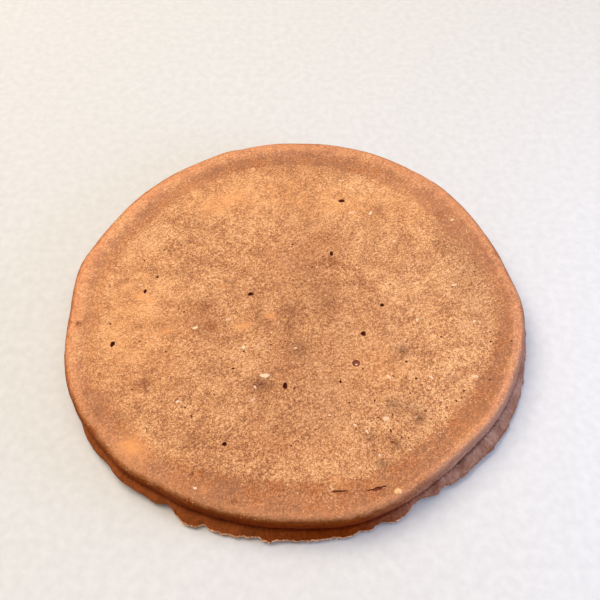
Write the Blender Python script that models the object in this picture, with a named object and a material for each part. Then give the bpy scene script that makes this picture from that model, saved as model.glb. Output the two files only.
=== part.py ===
"""Chocolate pancake: one solid in metres, +Z up, resting on z = 0 with its front towards -Y."""
import math
import random

import bmesh
import bpy
import numpy as np

MM = 0.001

# Driving sizes in millimetres
THICKNESS = 9.5
SHOULDER_STEEPNESS = 1.1
CREST_FALL = 0.5
FACE_DROP = 0.15
FACE_SWELL = 0.22
TROUGH_DEPTH = 0.3
CREASE_INSET = 0.5
EDGE_UNEVENNESS = 0.35
LIP_ROOT_DROP = 0.7
LIP_EDGE_HEIGHT = 1.4
LIP_EDGE_THICKNESS = 0.6
LIP_FRAY = 0.22
LIP_ROOT_INSET = 0.15
TUCK_INSET = 1.6
TUCK_HEIGHT = 0.3
CONTACT_INSET = 4.5
DIMPLE_DEPTH = 0.3
FLAT_SPOT_RADIUS = 14.0
FLAT_SPOT_BLEND = 8.0

# Shares of the lip's reach past the rim at its root, its middle and the tuck below it
LIP_ROOT_SHARE = 0.15
LIP_MIDDLE_SHARE = 0.6
TUCK_SHARE = 0.3
TUCK_LIFT_SHARE = 0.4

# Rim seen from above: bearing in degrees from +X towards +Y, radius in millimetres
RIM = (
    (0, 64.8), (8, 63.6), (18, 63.1), (28, 63.1), (36, 63.6), (43, 64.1), (54, 63.9), (64, 64.2),
    (74, 64.2), (88, 63.9), (99, 64.0), (105, 63.6), (110, 64.0), (117, 63.4), (130, 63.2),
    (140, 63.2), (152, 62.9), (160, 63.3), (168, 64.2), (175, 63.9), (182, 63.4), (190, 64.1),
    (197, 65.1), (203, 65.9), (213, 66.2), (224, 66.0), (230, 66.3), (238, 65.4), (247, 65.1),
    (261, 64.8), (272, 65.0), (282, 65.6), (292, 65.1), (299, 64.3), (307, 63.6), (316, 63.5),
    (322, 64.0), (327, 64.3), (333, 64.4), (341, 64.6), (350, 65.0),
)

# Width of the rounded shoulder between the top and the side: bearing, width
SHOULDER = (
    (0, 2.2), (50, 2.0), (120, 2.0), (180, 1.8), (215, 1.6), (270, 1.7), (292, 1.9), (310, 2.1),
    (326, 2.0), (345, 2.1),
)

# Inner edge of the crest just inside the rim: bearing, distance in from the rim
CREST = (
    (0, 4.2), (30, 4.4), (60, 5.3), (90, 5.0), (120, 5.6), (150, 5.0), (180, 4.6), (210, 3.4),
    (240, 3.2), (270, 2.5), (300, 2.7), (316, 2.7), (330, 2.8), (345, 3.6),
)

# Inner edge of the shallow ring inside the crest: bearing, distance in from the rim
RING = (
    (0, 7.2), (30, 10.0), (60, 11.0), (90, 10.0), (120, 10.5), (150, 9.5), (180, 8.8), (210, 7.5),
    (240, 8.0), (270, 9.3), (300, 7.8), (330, 7.8),
)

# Crease under the rim, where the batter lip folds out: bearing, height
CREASE = (
    (0, 4.6), (60, 4.8), (120, 5.0), (165, 5.4), (195, 6.0), (222, 5.9), (236, 5.0), (250, 4.4),
    (275, 4.2), (300, 4.6), (318, 5.2), (330, 5.2), (345, 4.8),
)

# Swelling of the side between the crease and the lip's edge: bearing, how far it stands out
BULGE = (
    (0, 0.2), (90, 0.2), (180, 0.2), (205, 0.1), (213, 0.2), (219, 0.5), (235, 0.6), (243, 0.4),
    (252, 0.1), (300, 0.1), (330, 0.3),
)

# The thin batter lip under the rim: bearing, and how far its edge runs out past the rim
LIP = (
    (10, 1.1), (38, 1.8), (66, 1.4), (98, 1.9), (130, 1.5), (160, 1.7), (188, 0.7), (204, 0.1),
    (213, 0.2), (217, 0.8), (221, 1.1), (226, 0.8), (233, 0.9), (239, 1.2), (242, 0.4), (244.2, 1.2),
    (246.6, 2.4), (249, 2.5), (250.6, 1.3), (252.4, 2.1), (256, 1.9), (257.5, 2.4), (260.5, 1.9),
    (263.5, 2.0), (266, 2.6), (268.5, 1.8), (271, 2.0), (275, 1.7), (279, 1.3), (281.5, 1.5),
    (284.5, 0.9), (286.5, 1.4), (289, 0.8), (291, 1.4), (295, 1.2), (298, 0.4), (300, 0.7),
    (302.5, 1.7), (305, 1.6), (308.5, 2.5), (312, 2.9), (316, 3.1), (322, 3.2), (328, 2.9),
    (334, 2.6), (342, 2.0), (348, 1.4), (352, 1.4),
)

# Open bubbles in the browned face: x, y, width across, length and depth in millimetres
BUBBLES = (
    (-49.3, -15.4, 1.25, 1.9, 1.6), (-2.3, -28.1, 1.3, 1.95, 1.6), (-17.3, -44.8, 1.15, 1.2, 1.3),
    (19.0, -11.9, 1.45, 1.55, 1.3), (14.5, 37.1, 1.95, 1.35, 1.3), (10.9, 16.3, 1.0, 1.9, 1.3),
    (24.7, -2.4, 1.25, 1.15, 1.2), (-12.4, 1.6, 1.7, 1.15, 1.3), (-42.5, 2.6, 0.95, 1.4, 1.1),
    (-39.5, 7.6, 0.8, 0.7, 0.9), (12.3, -26.8, 0.65, 1.0, 0.9),
)

# Collapsed bubbles that left a shallow dish: x, y, width across and depth
DISHES = (
    (-59.5, -8.9, 1.6, 0.5), (-14.1, -59.9, 1.7, 0.45), (-24.9, -53.2, 1.6, 0.3),
    (16.6, -21.2, 2.1, 0.45), (0.7, 11.8, 1.6, 0.3),
)

# Short cracks near the front rim: x, y, length, width, depth and turn in degrees
CRACKS = (
    (11.0, -57.2, 3.2, 0.35, 0.5, 4.0),
    (20.5, -56.4, 4.8, 0.8, 0.5, 15.0),
)

# Open bubbles in the underside, set round a spiral that turns by the golden angle
UNDER_BUBBLES = 10
UNDER_BUBBLE_REACH = 54.0
GOLDEN_ANGLE = 137.5

# Rings of points round the solid: the rim and lip, and the ring inside the crest
RIM_SEGMENTS = 200
RING_SEGMENTS = RIM_SEGMENTS // 2
INNER_FACE_SHARES = (0.12, 0.24)
MIDDLE_FACE_SHARES = (0.36, 0.47, 0.58, 0.68)
OUTER_FACE_SHARES = (0.77, 0.85, 0.93, 1.0)
TROUGH_SHARES = (0.75, 0.5, 0.25)
SHOULDER_RING_ANGLES = (90, 62, 33, 0)
OUTER_UNDER_SHARES = (1.0, 0.9, 0.8)
MIDDLE_UNDER_SHARES = (0.68, 0.56, 0.44)
INNER_UNDER_SHARES = (0.3, 0.16)
CRUST_COLOUR = "c98c60"
CRUST_ROUGHNESS = 0.75


def clear_scene():
    for thing in list(bpy.data.objects):
        bpy.data.objects.remove(thing, do_unlink=True)


def linear_colour(code):
    """Linear colour with alpha of an sRGB hex code."""
    shares = [int(code[k : k + 2], 16) / 255 for k in (0, 2, 4)]
    return [s / 12.92 if s <= 0.04045 else ((s + 0.055) / 1.055) ** 2.4 for s in shares] + [1.0]


def crust_material():
    material = bpy.data.materials.new("Chocolate pancake crust")
    material.use_nodes = True
    shader = material.node_tree.nodes["Principled BSDF"]
    shader.inputs["Base Color"].default_value = linear_colour(CRUST_COLOUR)
    shader.inputs["Roughness"].default_value = CRUST_ROUGHNESS
    shader.inputs["Metallic"].default_value = 0.0
    return material


def round_curve(points, bearings):
    """Smooth closed curve through (bearing, value) points: cubic pieces with shared slopes."""
    at = np.array([p[0] for p in points], float)
    value = np.tile([p[1] for p in points], 3)
    at = np.concatenate([at - 360, at, at + 360])
    slope = np.gradient(value, at)
    here = np.asarray(bearings, float) % 360
    k = np.searchsorted(at, here, side="right") - 1
    span = at[k + 1] - at[k]
    t = (here - at[k]) / span
    rise = t * t * (3 - 2 * t)
    return (
        value[k] * (1 - rise) + value[k + 1] * rise
        + span * t * (1 - t) * (slope[k] * (1 - t) - slope[k + 1] * t)
    )


def waves(x, y, seed, longest, count):
    """Sum of plane waves in seeded directions, each shorter and lower than the last, about -1 to 1."""
    draw = random.Random(seed)
    total = np.zeros_like(np.asarray(x, float))
    for k in range(count):
        turn = draw.uniform(0, math.pi)
        number = 2 * math.pi * 1.45**k / longest
        along = x * math.cos(turn) + y * math.sin(turn)
        total = total + 0.8**k * np.sin(number * along + draw.uniform(0, 2 * math.pi))
    return total / 2.0


def unevenness(bearing, seed):
    """Slow rise and fall round the edge, about -1 to 1: sines that close after a full turn."""
    draw = random.Random(seed)
    turns = (2, 3, 5, 8, 13)
    parts = [np.sin(np.radians(bearing) * n + draw.uniform(0, 2 * math.pi)) * n**-0.3 for n in turns]
    return sum(parts) / 2.0


def smooth_step(value, low, high):
    t = np.clip((value - low) / (high - low), 0, 1)
    return t * t * (3 - 2 * t)


def top_height(x, y, inset):
    """Height of the top: a crowned crest near the rim, a shallow ring inside it, then the waved face."""
    bearing = np.degrees(np.arctan2(y, x))
    crest, face = round_curve(CREST, bearing), round_curve(RING, bearing)
    on_face = smooth_step(inset, crest, face)
    trough = np.sin(np.clip((inset - crest) / (face - crest), 0, 1) * math.pi) ** 2
    fall = CREST_FALL * np.clip(1 - inset / crest, 0, 1) ** 2
    swell = FACE_SWELL * waves(x, y, 4, 52.0, 4) * (0.4 + 0.6 * on_face)
    return THICKNESS + swell - FACE_DROP * on_face - TROUGH_DEPTH * trough - fall


def under_height(x, y):
    """Height of the underside: flat, with shallow dimples pressed up outside the flat spot."""
    dimples = np.clip(waves(x, y, 9, 21.0, 4) - 0.25, 0, 1)
    blend = smooth_step(np.hypot(x, y), FLAT_SPOT_RADIUS, FLAT_SPOT_RADIUS + FLAT_SPOT_BLEND)
    return DIMPLE_DEPTH * dimples * blend


class Edge:
    """The curves that run round the pancake, read at evenly spaced bearings."""

    def __init__(self, count):
        bearing = np.arange(count) * 360.0 / count
        self.cos, self.sin = np.cos(np.radians(bearing)), np.sin(np.radians(bearing))
        self.rim = round_curve(RIM, bearing)
        self.shoulder = round_curve(SHOULDER, bearing)
        self.crest = round_curve(CREST, bearing)
        self.face = round_curve(RING, bearing)
        self.crease = round_curve(CREASE, bearing)
        self.bulge = round_curve(BULGE, bearing)
        self.lip = round_curve(LIP, bearing)
        self.lift = EDGE_UNEVENNESS * unevenness(bearing, 33)


def ring(edge, radius, height):
    return np.stack([radius * edge.cos, radius * edge.sin, height + 0 * radius], axis=1)


def trough_ring(count, share):
    """Ring of the top at a share of the way from the crest's inner edge to the face."""
    edge = Edge(count)
    inset = edge.crest + (edge.face - edge.crest) * share
    radius = edge.rim - inset
    return ring(edge, radius, top_height(radius * edge.cos, radius * edge.sin, inset))


def face_ring(count, share):
    """Ring of the face, at a share of its radius."""
    edge = Edge(count)
    radius = (edge.rim - edge.face) * share
    return ring(edge, radius, top_height(radius * edge.cos, radius * edge.sin, edge.rim - radius))


def shoulder_ring(count, turn):
    """Ring on the shoulder, a quarter ellipse, at an angle up from the widest point."""
    edge = Edge(count)
    inset = edge.shoulder * (1 - math.cos(turn))
    radius = edge.rim - inset
    drop = SHOULDER_STEEPNESS * edge.shoulder * (1 - math.sin(turn))
    return ring(edge, radius, top_height(radius * edge.cos, radius * edge.sin, inset) - drop)


def side_rings(count):
    """Rings of the side: crease, lip root, bulge, both sides of the lip's edge, and the tuck."""
    edge = Edge(count)
    root = edge.crease - LIP_ROOT_DROP
    under_edge = LIP_EDGE_HEIGHT - LIP_EDGE_THICKNESS
    lip_root = edge.rim - LIP_ROOT_INSET + LIP_ROOT_SHARE * edge.lip
    bulge = edge.rim + LIP_MIDDLE_SHARE * edge.lip + edge.bulge
    out = edge.rim + edge.lip
    tuck = edge.rim - TUCK_INSET + TUCK_SHARE * edge.lip
    return [
        ring(edge, edge.rim - CREASE_INSET, edge.crease + edge.lift),
        ring(edge, lip_root, root + edge.lift),
        ring(edge, bulge, (root + LIP_EDGE_HEIGHT) / 2 + edge.lift),
        frayed(ring(edge, out, LIP_EDGE_HEIGHT + edge.lift), 21),
        frayed(ring(edge, out - LIP_EDGE_THICKNESS / 2, under_edge + edge.lift), 21),
        ring(edge, tuck, TUCK_HEIGHT + TUCK_LIFT_SHARE * edge.lift),
    ]


def under_ring(count, share):
    edge = Edge(count)
    radius = (edge.rim - CONTACT_INSET) * share
    return ring(edge, radius, under_height(radius * edge.cos, radius * edge.sin))


def frayed(points, seed):
    """Moves each point of the lip's edge in or out and up or down by a seeded draw."""
    draw = random.Random(seed)
    out = points[:, :2] / np.linalg.norm(points[:, :2], axis=1)[:, None]
    points[:, :2] += out * np.array([[draw.uniform(-1, 1) * LIP_FRAY] for _ in points])
    points[:, 2] += [draw.uniform(-0.5, 0.5) * LIP_FRAY for _ in points]
    return points


def all_rings():
    """Every ring from the middle of the top, over the rim and lip, to the middle of the underside."""
    middle, inner = RING_SEGMENTS // 2, RING_SEGMENTS // 4
    rings = [face_ring(inner, share) for share in INNER_FACE_SHARES]
    rings += [face_ring(middle, share) for share in MIDDLE_FACE_SHARES]
    rings += [face_ring(RING_SEGMENTS, share) for share in OUTER_FACE_SHARES]
    rings += [trough_ring(RING_SEGMENTS, share) for share in TROUGH_SHARES]
    rings += [trough_ring(RIM_SEGMENTS, 0.0)]
    rings += [shoulder_ring(RIM_SEGMENTS, math.radians(angle)) for angle in SHOULDER_RING_ANGLES]
    rings += side_rings(RIM_SEGMENTS)
    rings += [under_ring(RING_SEGMENTS, share) for share in OUTER_UNDER_SHARES]
    rings += [under_ring(middle, share) for share in MIDDLE_UNDER_SHARES]
    rings += [under_ring(inner, share) for share in INNER_UNDER_SHARES]
    return rings


def join_rings(mesh, first, second):
    """Faces between two rings of the same count, or where one has twice the points of the other."""
    if len(first) == len(second):
        for k in range(len(first)):
            n = (k + 1) % len(first)
            mesh.faces.new((first[k], second[k], second[n], first[n]))
        return
    few, many = (first, second) if len(first) < len(second) else (second, first)
    for k in range(len(few)):
        n = (k + 1) % len(few)
        a, b, c = many[2 * k], many[2 * k + 1], many[(2 * k + 2) % len(many)]
        mesh.faces.new((few[k], a, b))
        mesh.faces.new((few[k], b, few[n]))
        mesh.faces.new((few[n], b, c))


def cap(mesh, ring, height):
    """Closes a ring with a fan to a point on the axis of the whole."""
    tip = mesh.verts.new((0, 0, height))
    for k in range(len(ring)):
        mesh.faces.new((ring[k], ring[(k + 1) % len(ring)], tip))


def pancake_solid(material):
    """Closed surface through all rings; returns the object and the plan offset that centres it."""
    rings = all_rings()
    points = np.concatenate(rings)
    offset = (points.min(axis=0) + points.max(axis=0))[:2] / 2
    mesh = bmesh.new()
    layers = [[mesh.verts.new(p) for p in ring] for ring in rings]
    for first, second in zip(layers, layers[1:]):
        join_rings(mesh, first, second)
    cap(mesh, layers[0], float(top_height(0.0, 0.0, RIM[0][1])))
    cap(mesh, layers[-1], 0.0)
    bmesh.ops.recalc_face_normals(mesh, faces=mesh.faces)
    bmesh.ops.translate(mesh, vec=(-offset[0], -offset[1], 0), verts=mesh.verts)
    bmesh.ops.scale(mesh, vec=(MM, MM, MM), verts=mesh.verts)
    data = bpy.data.meshes.new("pancake")
    mesh.to_mesh(data)
    mesh.free()
    data.materials.append(material)
    data.shade_smooth()
    solid = bpy.data.objects.new("pancake", data)
    bpy.context.scene.collection.objects.link(solid)
    return solid, offset


def surface_height(x, y):
    """Height of the top at a plan point on the face or the ring."""
    rim = float(round_curve(RIM, [math.degrees(math.atan2(y, x))])[0])
    return float(top_height(x, y, rim - math.hypot(x, y)))


def cutter(collection, name, centre, half_sizes, turn, subdivisions=1):
    """Rounded cutting body with the given half sizes, turned about the vertical."""
    mesh = bmesh.new()
    bmesh.ops.create_icosphere(mesh, subdivisions=subdivisions, radius=1.0)
    bmesh.ops.scale(mesh, vec=[MM * h for h in half_sizes], verts=mesh.verts)
    data = bpy.data.meshes.new(name)
    mesh.to_mesh(data)
    mesh.free()
    body = bpy.data.objects.new(name, data)
    body.location = [MM * c for c in centre]
    body.rotation_euler = (0, 0, math.radians(turn))
    body.hide_render = True
    body.display_type = "WIRE"
    collection.objects.link(body)


def bubble_cutters(offset):
    """Cutting bodies for the open bubbles, the shallow dishes and the cracks."""
    collection = bpy.data.collections.new("bubble_cutters")
    bpy.context.scene.collection.children.link(collection)
    for k, (x, y, width, length, depth) in enumerate(BUBBLES):
        place = (x - offset[0], y - offset[1], surface_height(x, y))
        cutter(collection, f"bubble_{k}", place, (width / 2, length / 2, depth), 0.0)
    for k, (x, y, width, depth) in enumerate(DISHES):
        ball = (width * width / 4 + depth * depth) / (2 * depth)
        place = (x - offset[0], y - offset[1], surface_height(x, y) + ball - depth)
        cutter(collection, f"dish_{k}", place, (ball, ball, ball), 17.0 * k)
    draw = random.Random(5)
    for k in range(UNDER_BUBBLES):
        radius = UNDER_BUBBLE_REACH * math.sqrt((k + 2.0) / (UNDER_BUBBLES + 1.0))
        bearing = math.radians(GOLDEN_ANGLE * k + draw.uniform(-20, 20))
        x, y = radius * math.cos(bearing), radius * math.sin(bearing)
        width, depth = draw.uniform(1.0, 2.0), draw.uniform(1.2, 2.0)
        place = (x - offset[0], y - offset[1], float(under_height(x, y)))
        cutter(collection, f"under_bubble_{k}", place, (width / 2, width / 2, depth), 23.0 * k)
    for k, (x, y, length, width, depth, turn) in enumerate(CRACKS):
        place = (x - offset[0], y - offset[1], surface_height(x, y))
        cutter(collection, f"crack_{k}", place, (length / 2, width / 2, depth), turn, 2)
    return collection


def main():
    clear_scene()
    solid, offset = pancake_solid(crust_material())
    cut = solid.modifiers.new("Open bubbles", "BOOLEAN")
    cut.operation = "DIFFERENCE"
    cut.operand_type = "COLLECTION"
    cut.collection = bubble_cutters(offset)
    cut.solver = "EXACT"


main()
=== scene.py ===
"""Chocolate pancake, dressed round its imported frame.

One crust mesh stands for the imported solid: the same rim, trough, crease and batter lip, with the
frosted grain, the open bubbles and the ragged lip edge as real geometry. Bran flecks, the skins of
burst bubbles, a batter bead and lip crumbs lie on it. Lengths in the functions are millimetres, and
meshes are made in metres.
"""

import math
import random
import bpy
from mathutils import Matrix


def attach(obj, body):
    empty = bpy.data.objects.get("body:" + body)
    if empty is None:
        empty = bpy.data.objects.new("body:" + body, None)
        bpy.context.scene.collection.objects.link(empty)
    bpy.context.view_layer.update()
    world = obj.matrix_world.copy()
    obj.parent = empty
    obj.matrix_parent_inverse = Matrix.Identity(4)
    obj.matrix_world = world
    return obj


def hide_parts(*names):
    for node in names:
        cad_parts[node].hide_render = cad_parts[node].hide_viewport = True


bl_info = {
    "name": "Chocolate Pancake",
    "version": (1, 0, 0),
    "blender": (4, 5, 0),
    "location": "View3D > Sidebar > Pancake",
    "description": "Builds a browned chocolate pancake with open bubbles, bran flecks and a ragged lip",
    "category": "Add Mesh",
}

import bmesh
import bpy
import numpy as np

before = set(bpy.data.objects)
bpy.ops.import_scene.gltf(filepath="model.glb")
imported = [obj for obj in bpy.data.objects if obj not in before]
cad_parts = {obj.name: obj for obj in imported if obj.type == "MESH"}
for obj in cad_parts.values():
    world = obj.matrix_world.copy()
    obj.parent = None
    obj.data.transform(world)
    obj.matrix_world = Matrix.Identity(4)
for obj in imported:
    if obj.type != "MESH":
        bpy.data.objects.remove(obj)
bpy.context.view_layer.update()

# Metres in a millimetre, and millimetres in a metre, which a noise's scale is divided out of
MM = 0.001
METRE = 1000

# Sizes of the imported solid, repeated from its source
THICKNESS = 9.5
SHOULDER_STEEPNESS = 1.1
CREST_FALL = 0.5
FACE_DROP = 0.15
FACE_SWELL = 0.22
TROUGH_DEPTH = 0.3
CREASE_INSET = 0.5
EDGE_UNEVENNESS = 0.35
LIP_ROOT_DROP = 0.7
LIP_EDGE_HEIGHT = 1.4
LIP_EDGE_THICKNESS = 0.6
LIP_FRAY = 0.22
TUCK_INSET = 1.6
TUCK_HEIGHT = 0.3
CONTACT_INSET = 4.5
DIMPLE_DEPTH = 0.3
FLAT_SPOT_RADIUS = 14.0
FLAT_SPOT_BLEND = 8.0
FRAY_BEARINGS = np.arange(200) * 1.8

# Rim seen from above: bearing in degrees from +X towards +Y, radius in millimetres
RIM = (
    (0, 64.8), (8, 63.6), (18, 63.1), (28, 63.1), (36, 63.6), (43, 64.1), (54, 63.9), (64, 64.2),
    (74, 64.2), (88, 63.9), (99, 64.0), (105, 63.6), (110, 64.0), (117, 63.4), (130, 63.2),
    (140, 63.2), (152, 62.9), (160, 63.3), (168, 64.2), (175, 63.9), (182, 63.4), (190, 64.1),
    (197, 65.1), (203, 65.9), (213, 66.2), (224, 66.0), (230, 66.3), (238, 65.4), (247, 65.1),
    (261, 64.8), (272, 65.0), (282, 65.6), (292, 65.1), (299, 64.3), (307, 63.6), (316, 63.5),
    (322, 64.0), (327, 64.3), (333, 64.4), (341, 64.6), (350, 65.0),
)

# Width of the rounded shoulder between the top and the side: bearing, width
SHOULDER = (
    (0, 2.2), (50, 2.0), (120, 2.0), (180, 1.8), (215, 1.6), (270, 1.7), (292, 1.9), (310, 2.1),
    (326, 2.0), (345, 2.1),
)

# Inner edge of the crest just inside the rim: bearing, distance in from the rim
CREST = (
    (0, 4.2), (30, 4.4), (60, 5.3), (90, 5.0), (120, 5.6), (150, 5.0), (180, 4.6), (210, 3.4),
    (240, 3.2), (270, 2.5), (300, 2.7), (316, 2.7), (330, 2.8), (345, 3.6),
)

# Inner edge of the shallow ring inside the crest: bearing, distance in from the rim
RING = (
    (0, 7.2), (30, 10.0), (60, 11.0), (90, 10.0), (120, 10.5), (150, 9.5), (180, 8.8), (210, 7.5),
    (240, 8.0), (270, 9.3), (300, 7.8), (330, 7.8),
)

# Crease under the rim, where the batter lip folds out: bearing, height
CREASE = (
    (0, 4.6), (60, 4.8), (120, 5.0), (165, 5.4), (195, 6.0), (222, 5.9), (236, 5.0), (250, 4.4),
    (275, 4.2), (300, 4.6), (318, 5.2), (330, 5.2), (345, 4.8),
)

# Swelling of the side between the crease and the lip's edge: bearing, how far it stands out
BULGE = (
    (0, 0.2), (90, 0.2), (180, 0.2), (205, 0.1), (213, 0.2), (219, 0.5), (235, 0.6), (243, 0.4),
    (252, 0.1), (300, 0.1), (330, 0.3),
)

# The thin batter lip under the rim: bearing, and how far its edge runs out past the rim
LIP = (
    (10, 1.1), (38, 1.8), (66, 1.4), (98, 1.9), (130, 1.5), (160, 1.7), (188, 0.7), (204, 0.1),
    (213, 0.2), (217, 0.8), (221, 1.1), (226, 0.8), (233, 0.9), (239, 1.2), (242, 0.4), (244.2, 1.2),
    (246.6, 2.4), (249, 2.5), (250.6, 1.3), (252.4, 2.1), (256, 1.9), (257.5, 2.4), (260.5, 1.9),
    (263.5, 2.0), (266, 2.6), (268.5, 1.8), (271, 2.0), (275, 1.7), (279, 1.3), (281.5, 1.5),
    (284.5, 0.9), (286.5, 1.4), (289, 0.8), (291, 1.4), (295, 1.2), (298, 0.4), (300, 0.7),
    (302.5, 1.7), (305, 1.6), (308.5, 2.5), (312, 2.9), (316, 3.1), (322, 3.2), (328, 2.9),
    (334, 2.6), (342, 2.0), (348, 1.4), (352, 1.4),
)

# How ragged the lip's edge is: bearing, share of the full fray
RAGGED = (
    (0, 0.5), (60, 0.7), (120, 0.7), (180, 0.4), (205, 0.12), (222, 0.2), (236, 0.5), (246, 1.0),
    (290, 1.0), (305, 0.6), (330, 0.45),
)

# How far the light crest colour runs down over the shoulder before the roll's darker colours, partly painted
# shade, begin: bearing, share of the shoulder
CREST_REACH = (
    (0, 0.1), (30, 0.0), (60, 0.0), (120, 0.0), (180, 0.0), (215, 0.0), (245, 0.05), (262, 0.25),
    (272, 0.35), (285, 0.3), (300, 0.25), (312, 0.3), (330, 0.3), (345, 0.2),
)

# How much darker the ring is coloured: its own bake, with painted shade added at the front and right, which
# face away from the key light: bearing, share
RING_TONE = (
    (0, 0.5), (30, 0.45), (60, 0.6), (90, 0.6), (120, 0.65), (150, 0.6), (180, 0.5), (200, 0.4),
    (218, 0.4), (234, 0.65), (270, 0.8), (300, 0.8), (330, 0.95), (345, 0.8),
)

# How much darker the crest is coloured: partly its own bake, partly painted shade at the front, which faces
# away from the light: bearing, share
CREST_TONE = (
    (0, 0.4), (20, 0.35), (40, 0.25), (90, 0.2), (150, 0.0), (180, 0.1), (200, 0.2), (215, 0.35),
    (224, 0.55), (240, 0.9), (255, 0.9), (285, 0.8), (300, 0.6), (312, 0.35), (330, 0.2), (345, 0.3),
)

# How much further out than the ring's inner edge the frost starts: bearing, millimetres
FROST_REACH = (
    (0, 1.0), (20, 0.8), (60, 0.0), (90, -0.3), (120, 0.2), (150, 1.0), (180, 1.6), (200, 2.0),
    (215, 1.3), (235, 1.8), (255, 2.4), (275, 2.2), (290, 1.2), (300, 0.5), (330, 0.5), (345, 0.9),
)

# Painted sheen: a dull mauve colour on the shoulder, side and lip that paints the reflection of the low cool
# light: bearing, share
PAINTED_SHEEN = (
    (0, 0.6), (25, 0.3), (45, 0.1), (120, 0.0), (200, 0.0), (284, 0.0), (297, 0.45), (306, 0.8),
    (316, 0.95), (335, 0.9), (350, 0.75),
)

# How orange the side and lip are, where the batter ran thin: bearing, share
LIP_WARMTH = (
    (0, 0.5), (60, 0.4), (120, 0.4), (180, 0.6), (212, 0.9), (245, 0.9), (260, 0.6), (272, 0.1),
    (300, 0.1), (318, 0.2), (332, 0.6), (346, 0.6),
)

# Open bubbles in the browned face: x, y, width across, length and depth
BUBBLES = (
    (-49.3, -15.4, 1.25, 1.9, 1.6), (-2.3, -28.1, 1.3, 1.95, 1.6), (-17.3, -44.8, 1.15, 1.2, 1.3),
    (19.0, -11.9, 1.45, 1.55, 1.3), (14.5, 37.1, 1.95, 1.35, 1.3), (10.9, 16.3, 1.0, 1.9, 1.3),
    (24.7, -2.4, 1.25, 1.15, 1.2), (-12.4, 1.6, 1.7, 1.15, 1.3), (-42.5, 2.6, 0.95, 1.4, 1.1),
    (-39.5, 7.6, 0.8, 0.7, 0.9), (12.3, -26.8, 0.65, 1.0, 0.9),
)

# Pin pores in the browned face: x, y, width across with its dark ring, of which PORE_SHARE is open
PORE_SHARE = 0.85
PIN_PORES = (
    (-0.5, -45.3, 0.65), (-0.4, 6.4, 0.6), (-38.5, 17.6, 0.7), (44.5, -29.6, 0.75), (39.5, -34.6, 0.6),
    (52.6, 12.8, 0.6), (-28.0, -34.6, 0.7),
    (-50.8, -8.8, 0.7), (-30.8, -4.6, 0.7), (52.2, 9.6, 0.7), (24.6, -41.1, 0.8), (33.9, -35.6, 0.8),
    (32.3, -26.0, 0.8), (30.1, -20.8, 0.8), (40.2, -13.0, 0.7), (27.5, 5.0, 0.7), (0.2, -28.9, 0.6),
    (-2.9, 16.8, 0.6), (-0.6, 19.7, 0.8), (0.9, 21.0, 0.5), (9.9, 22.6, 0.6), (5.3, 16.9, 0.5),
    (8.3, 15.2, 0.6), (-2.9, 13.2, 0.5), (5.2, 11.2, 0.7), (3.0, 5.9, 0.5), (2.2, 4.9, 0.5),
    (8.9, 4.9, 0.6), (12.9, 5.0, 0.5), (15.1, 5.4, 0.6), (17.2, 4.8, 0.5), (3.1, -3.4, 0.6),
    (13.8, 10.9, 0.6), (-6.2, -15.3, 0.6), (-13.6, -17.5, 0.6), (-16.2, -23.0, 0.8),
    (26.3, -25.3, 0.6), (29.7, -25.6, 0.6), (-7.7, -8.0, 0.5), (1.0, 11.2, 0.4), (-43.9, 13.7, 0.6),
    (-32.4, -3.6, 0.5), (-42.1, -14.5, 0.5), (-27.2, -19.7, 0.5), (-22.2, -18.8, 0.5),
    (-34.6, -17.6, 0.6), (18.4, -22.9, 0.6), (41.7, -19.6, 0.5), (33.5, -16.3, 0.5),
    (38.4, -25.9, 0.5), (30.4, -30.4, 0.6), (21.0, -32.5, 0.7), (14.4, -33.1, 0.7),
    (43.7, -31.5, 0.5), (42.2, -32.6, 0.7), (25.4, -36.7, 0.6), (21.8, -37.4, 0.6),
    (37.4, -37.7, 0.5), (35.0, -37.9, 0.5), (38.9, -37.4, 0.5), (24.7, -44.2, 0.7),
    (27.2, -43.0, 0.5), (28.9, -43.2, 0.5), (20.2, -46.5, 0.5), (53.6, -14.4, 0.7),
    (59.3, -14.3, 0.7), (54.0, -11.2, 0.5), (51.7, -26.2, 0.6), (-42.3, -29.3, 0.6),
    (-29.6, -31.4, 0.5), (-27.0, -31.8, 0.5), (-20.7, -31.0, 0.5), (-26.2, -36.9, 0.5),
    (-22.3, -37.4, 0.4), (-37.3, -40.6, 0.5),
)

# Collapsed bubbles that left a shallow dish: x, y, width across and depth. One is lined with crumb
DISHES = (
    (-59.5, -8.9, 1.6, 0.5), (-14.1, -59.9, 1.7, 0.45), (-24.9, -53.2, 1.6, 0.3),
    (16.6, -21.2, 2.1, 0.45), (0.7, 11.8, 1.6, 0.3),
)
DARK_DISH = 3

# Thin skin left standing round collapsed bubbles: x, y, width across, and where it stands highest
SKIN_RIMS = (
    (-59.5, -8.9, 1.9, 150.0), (-14.1, -59.9, 2.0, 40.0), (-14.1, -59.9, 1.9, 200.0),
    (-24.9, -53.2, 1.6, 100.0), (0.7, 11.8, 1.7, 60.0), (-33.3, -16.4, 1.3, 90.0),
)

# Short cracks near the front rim: x, y, length, width, depth and turn in degrees
CRACKS = (
    (11.0, -57.2, 3.2, 0.6, 0.35, 4.0),
    (20.5, -56.4, 4.8, 0.9, 0.5, 15.0),
)

# Low rises of the crust: x, y, half length, half width, turn in degrees, height
RISES = (
    (11.4, -56.5, 1.9, 0.55, 4.0, 0.4), (20.2, -55.6, 2.6, 0.5, 15.0, 0.25),
    (22.9, -56.0, 0.8, 0.5, 15.0, 0.2), (14.8, -57.3, 0.8, 0.4, 40.0, 0.2),
    (-33.3, -16.4, 1.2, 1.2, 0.0, 0.12),
    (-40.1, -45.8, 4.0, 3.0, -40.0, 0.15), (57.5, -24.0, 1.0, 1.2, 0.0, 0.12),
)

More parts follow.
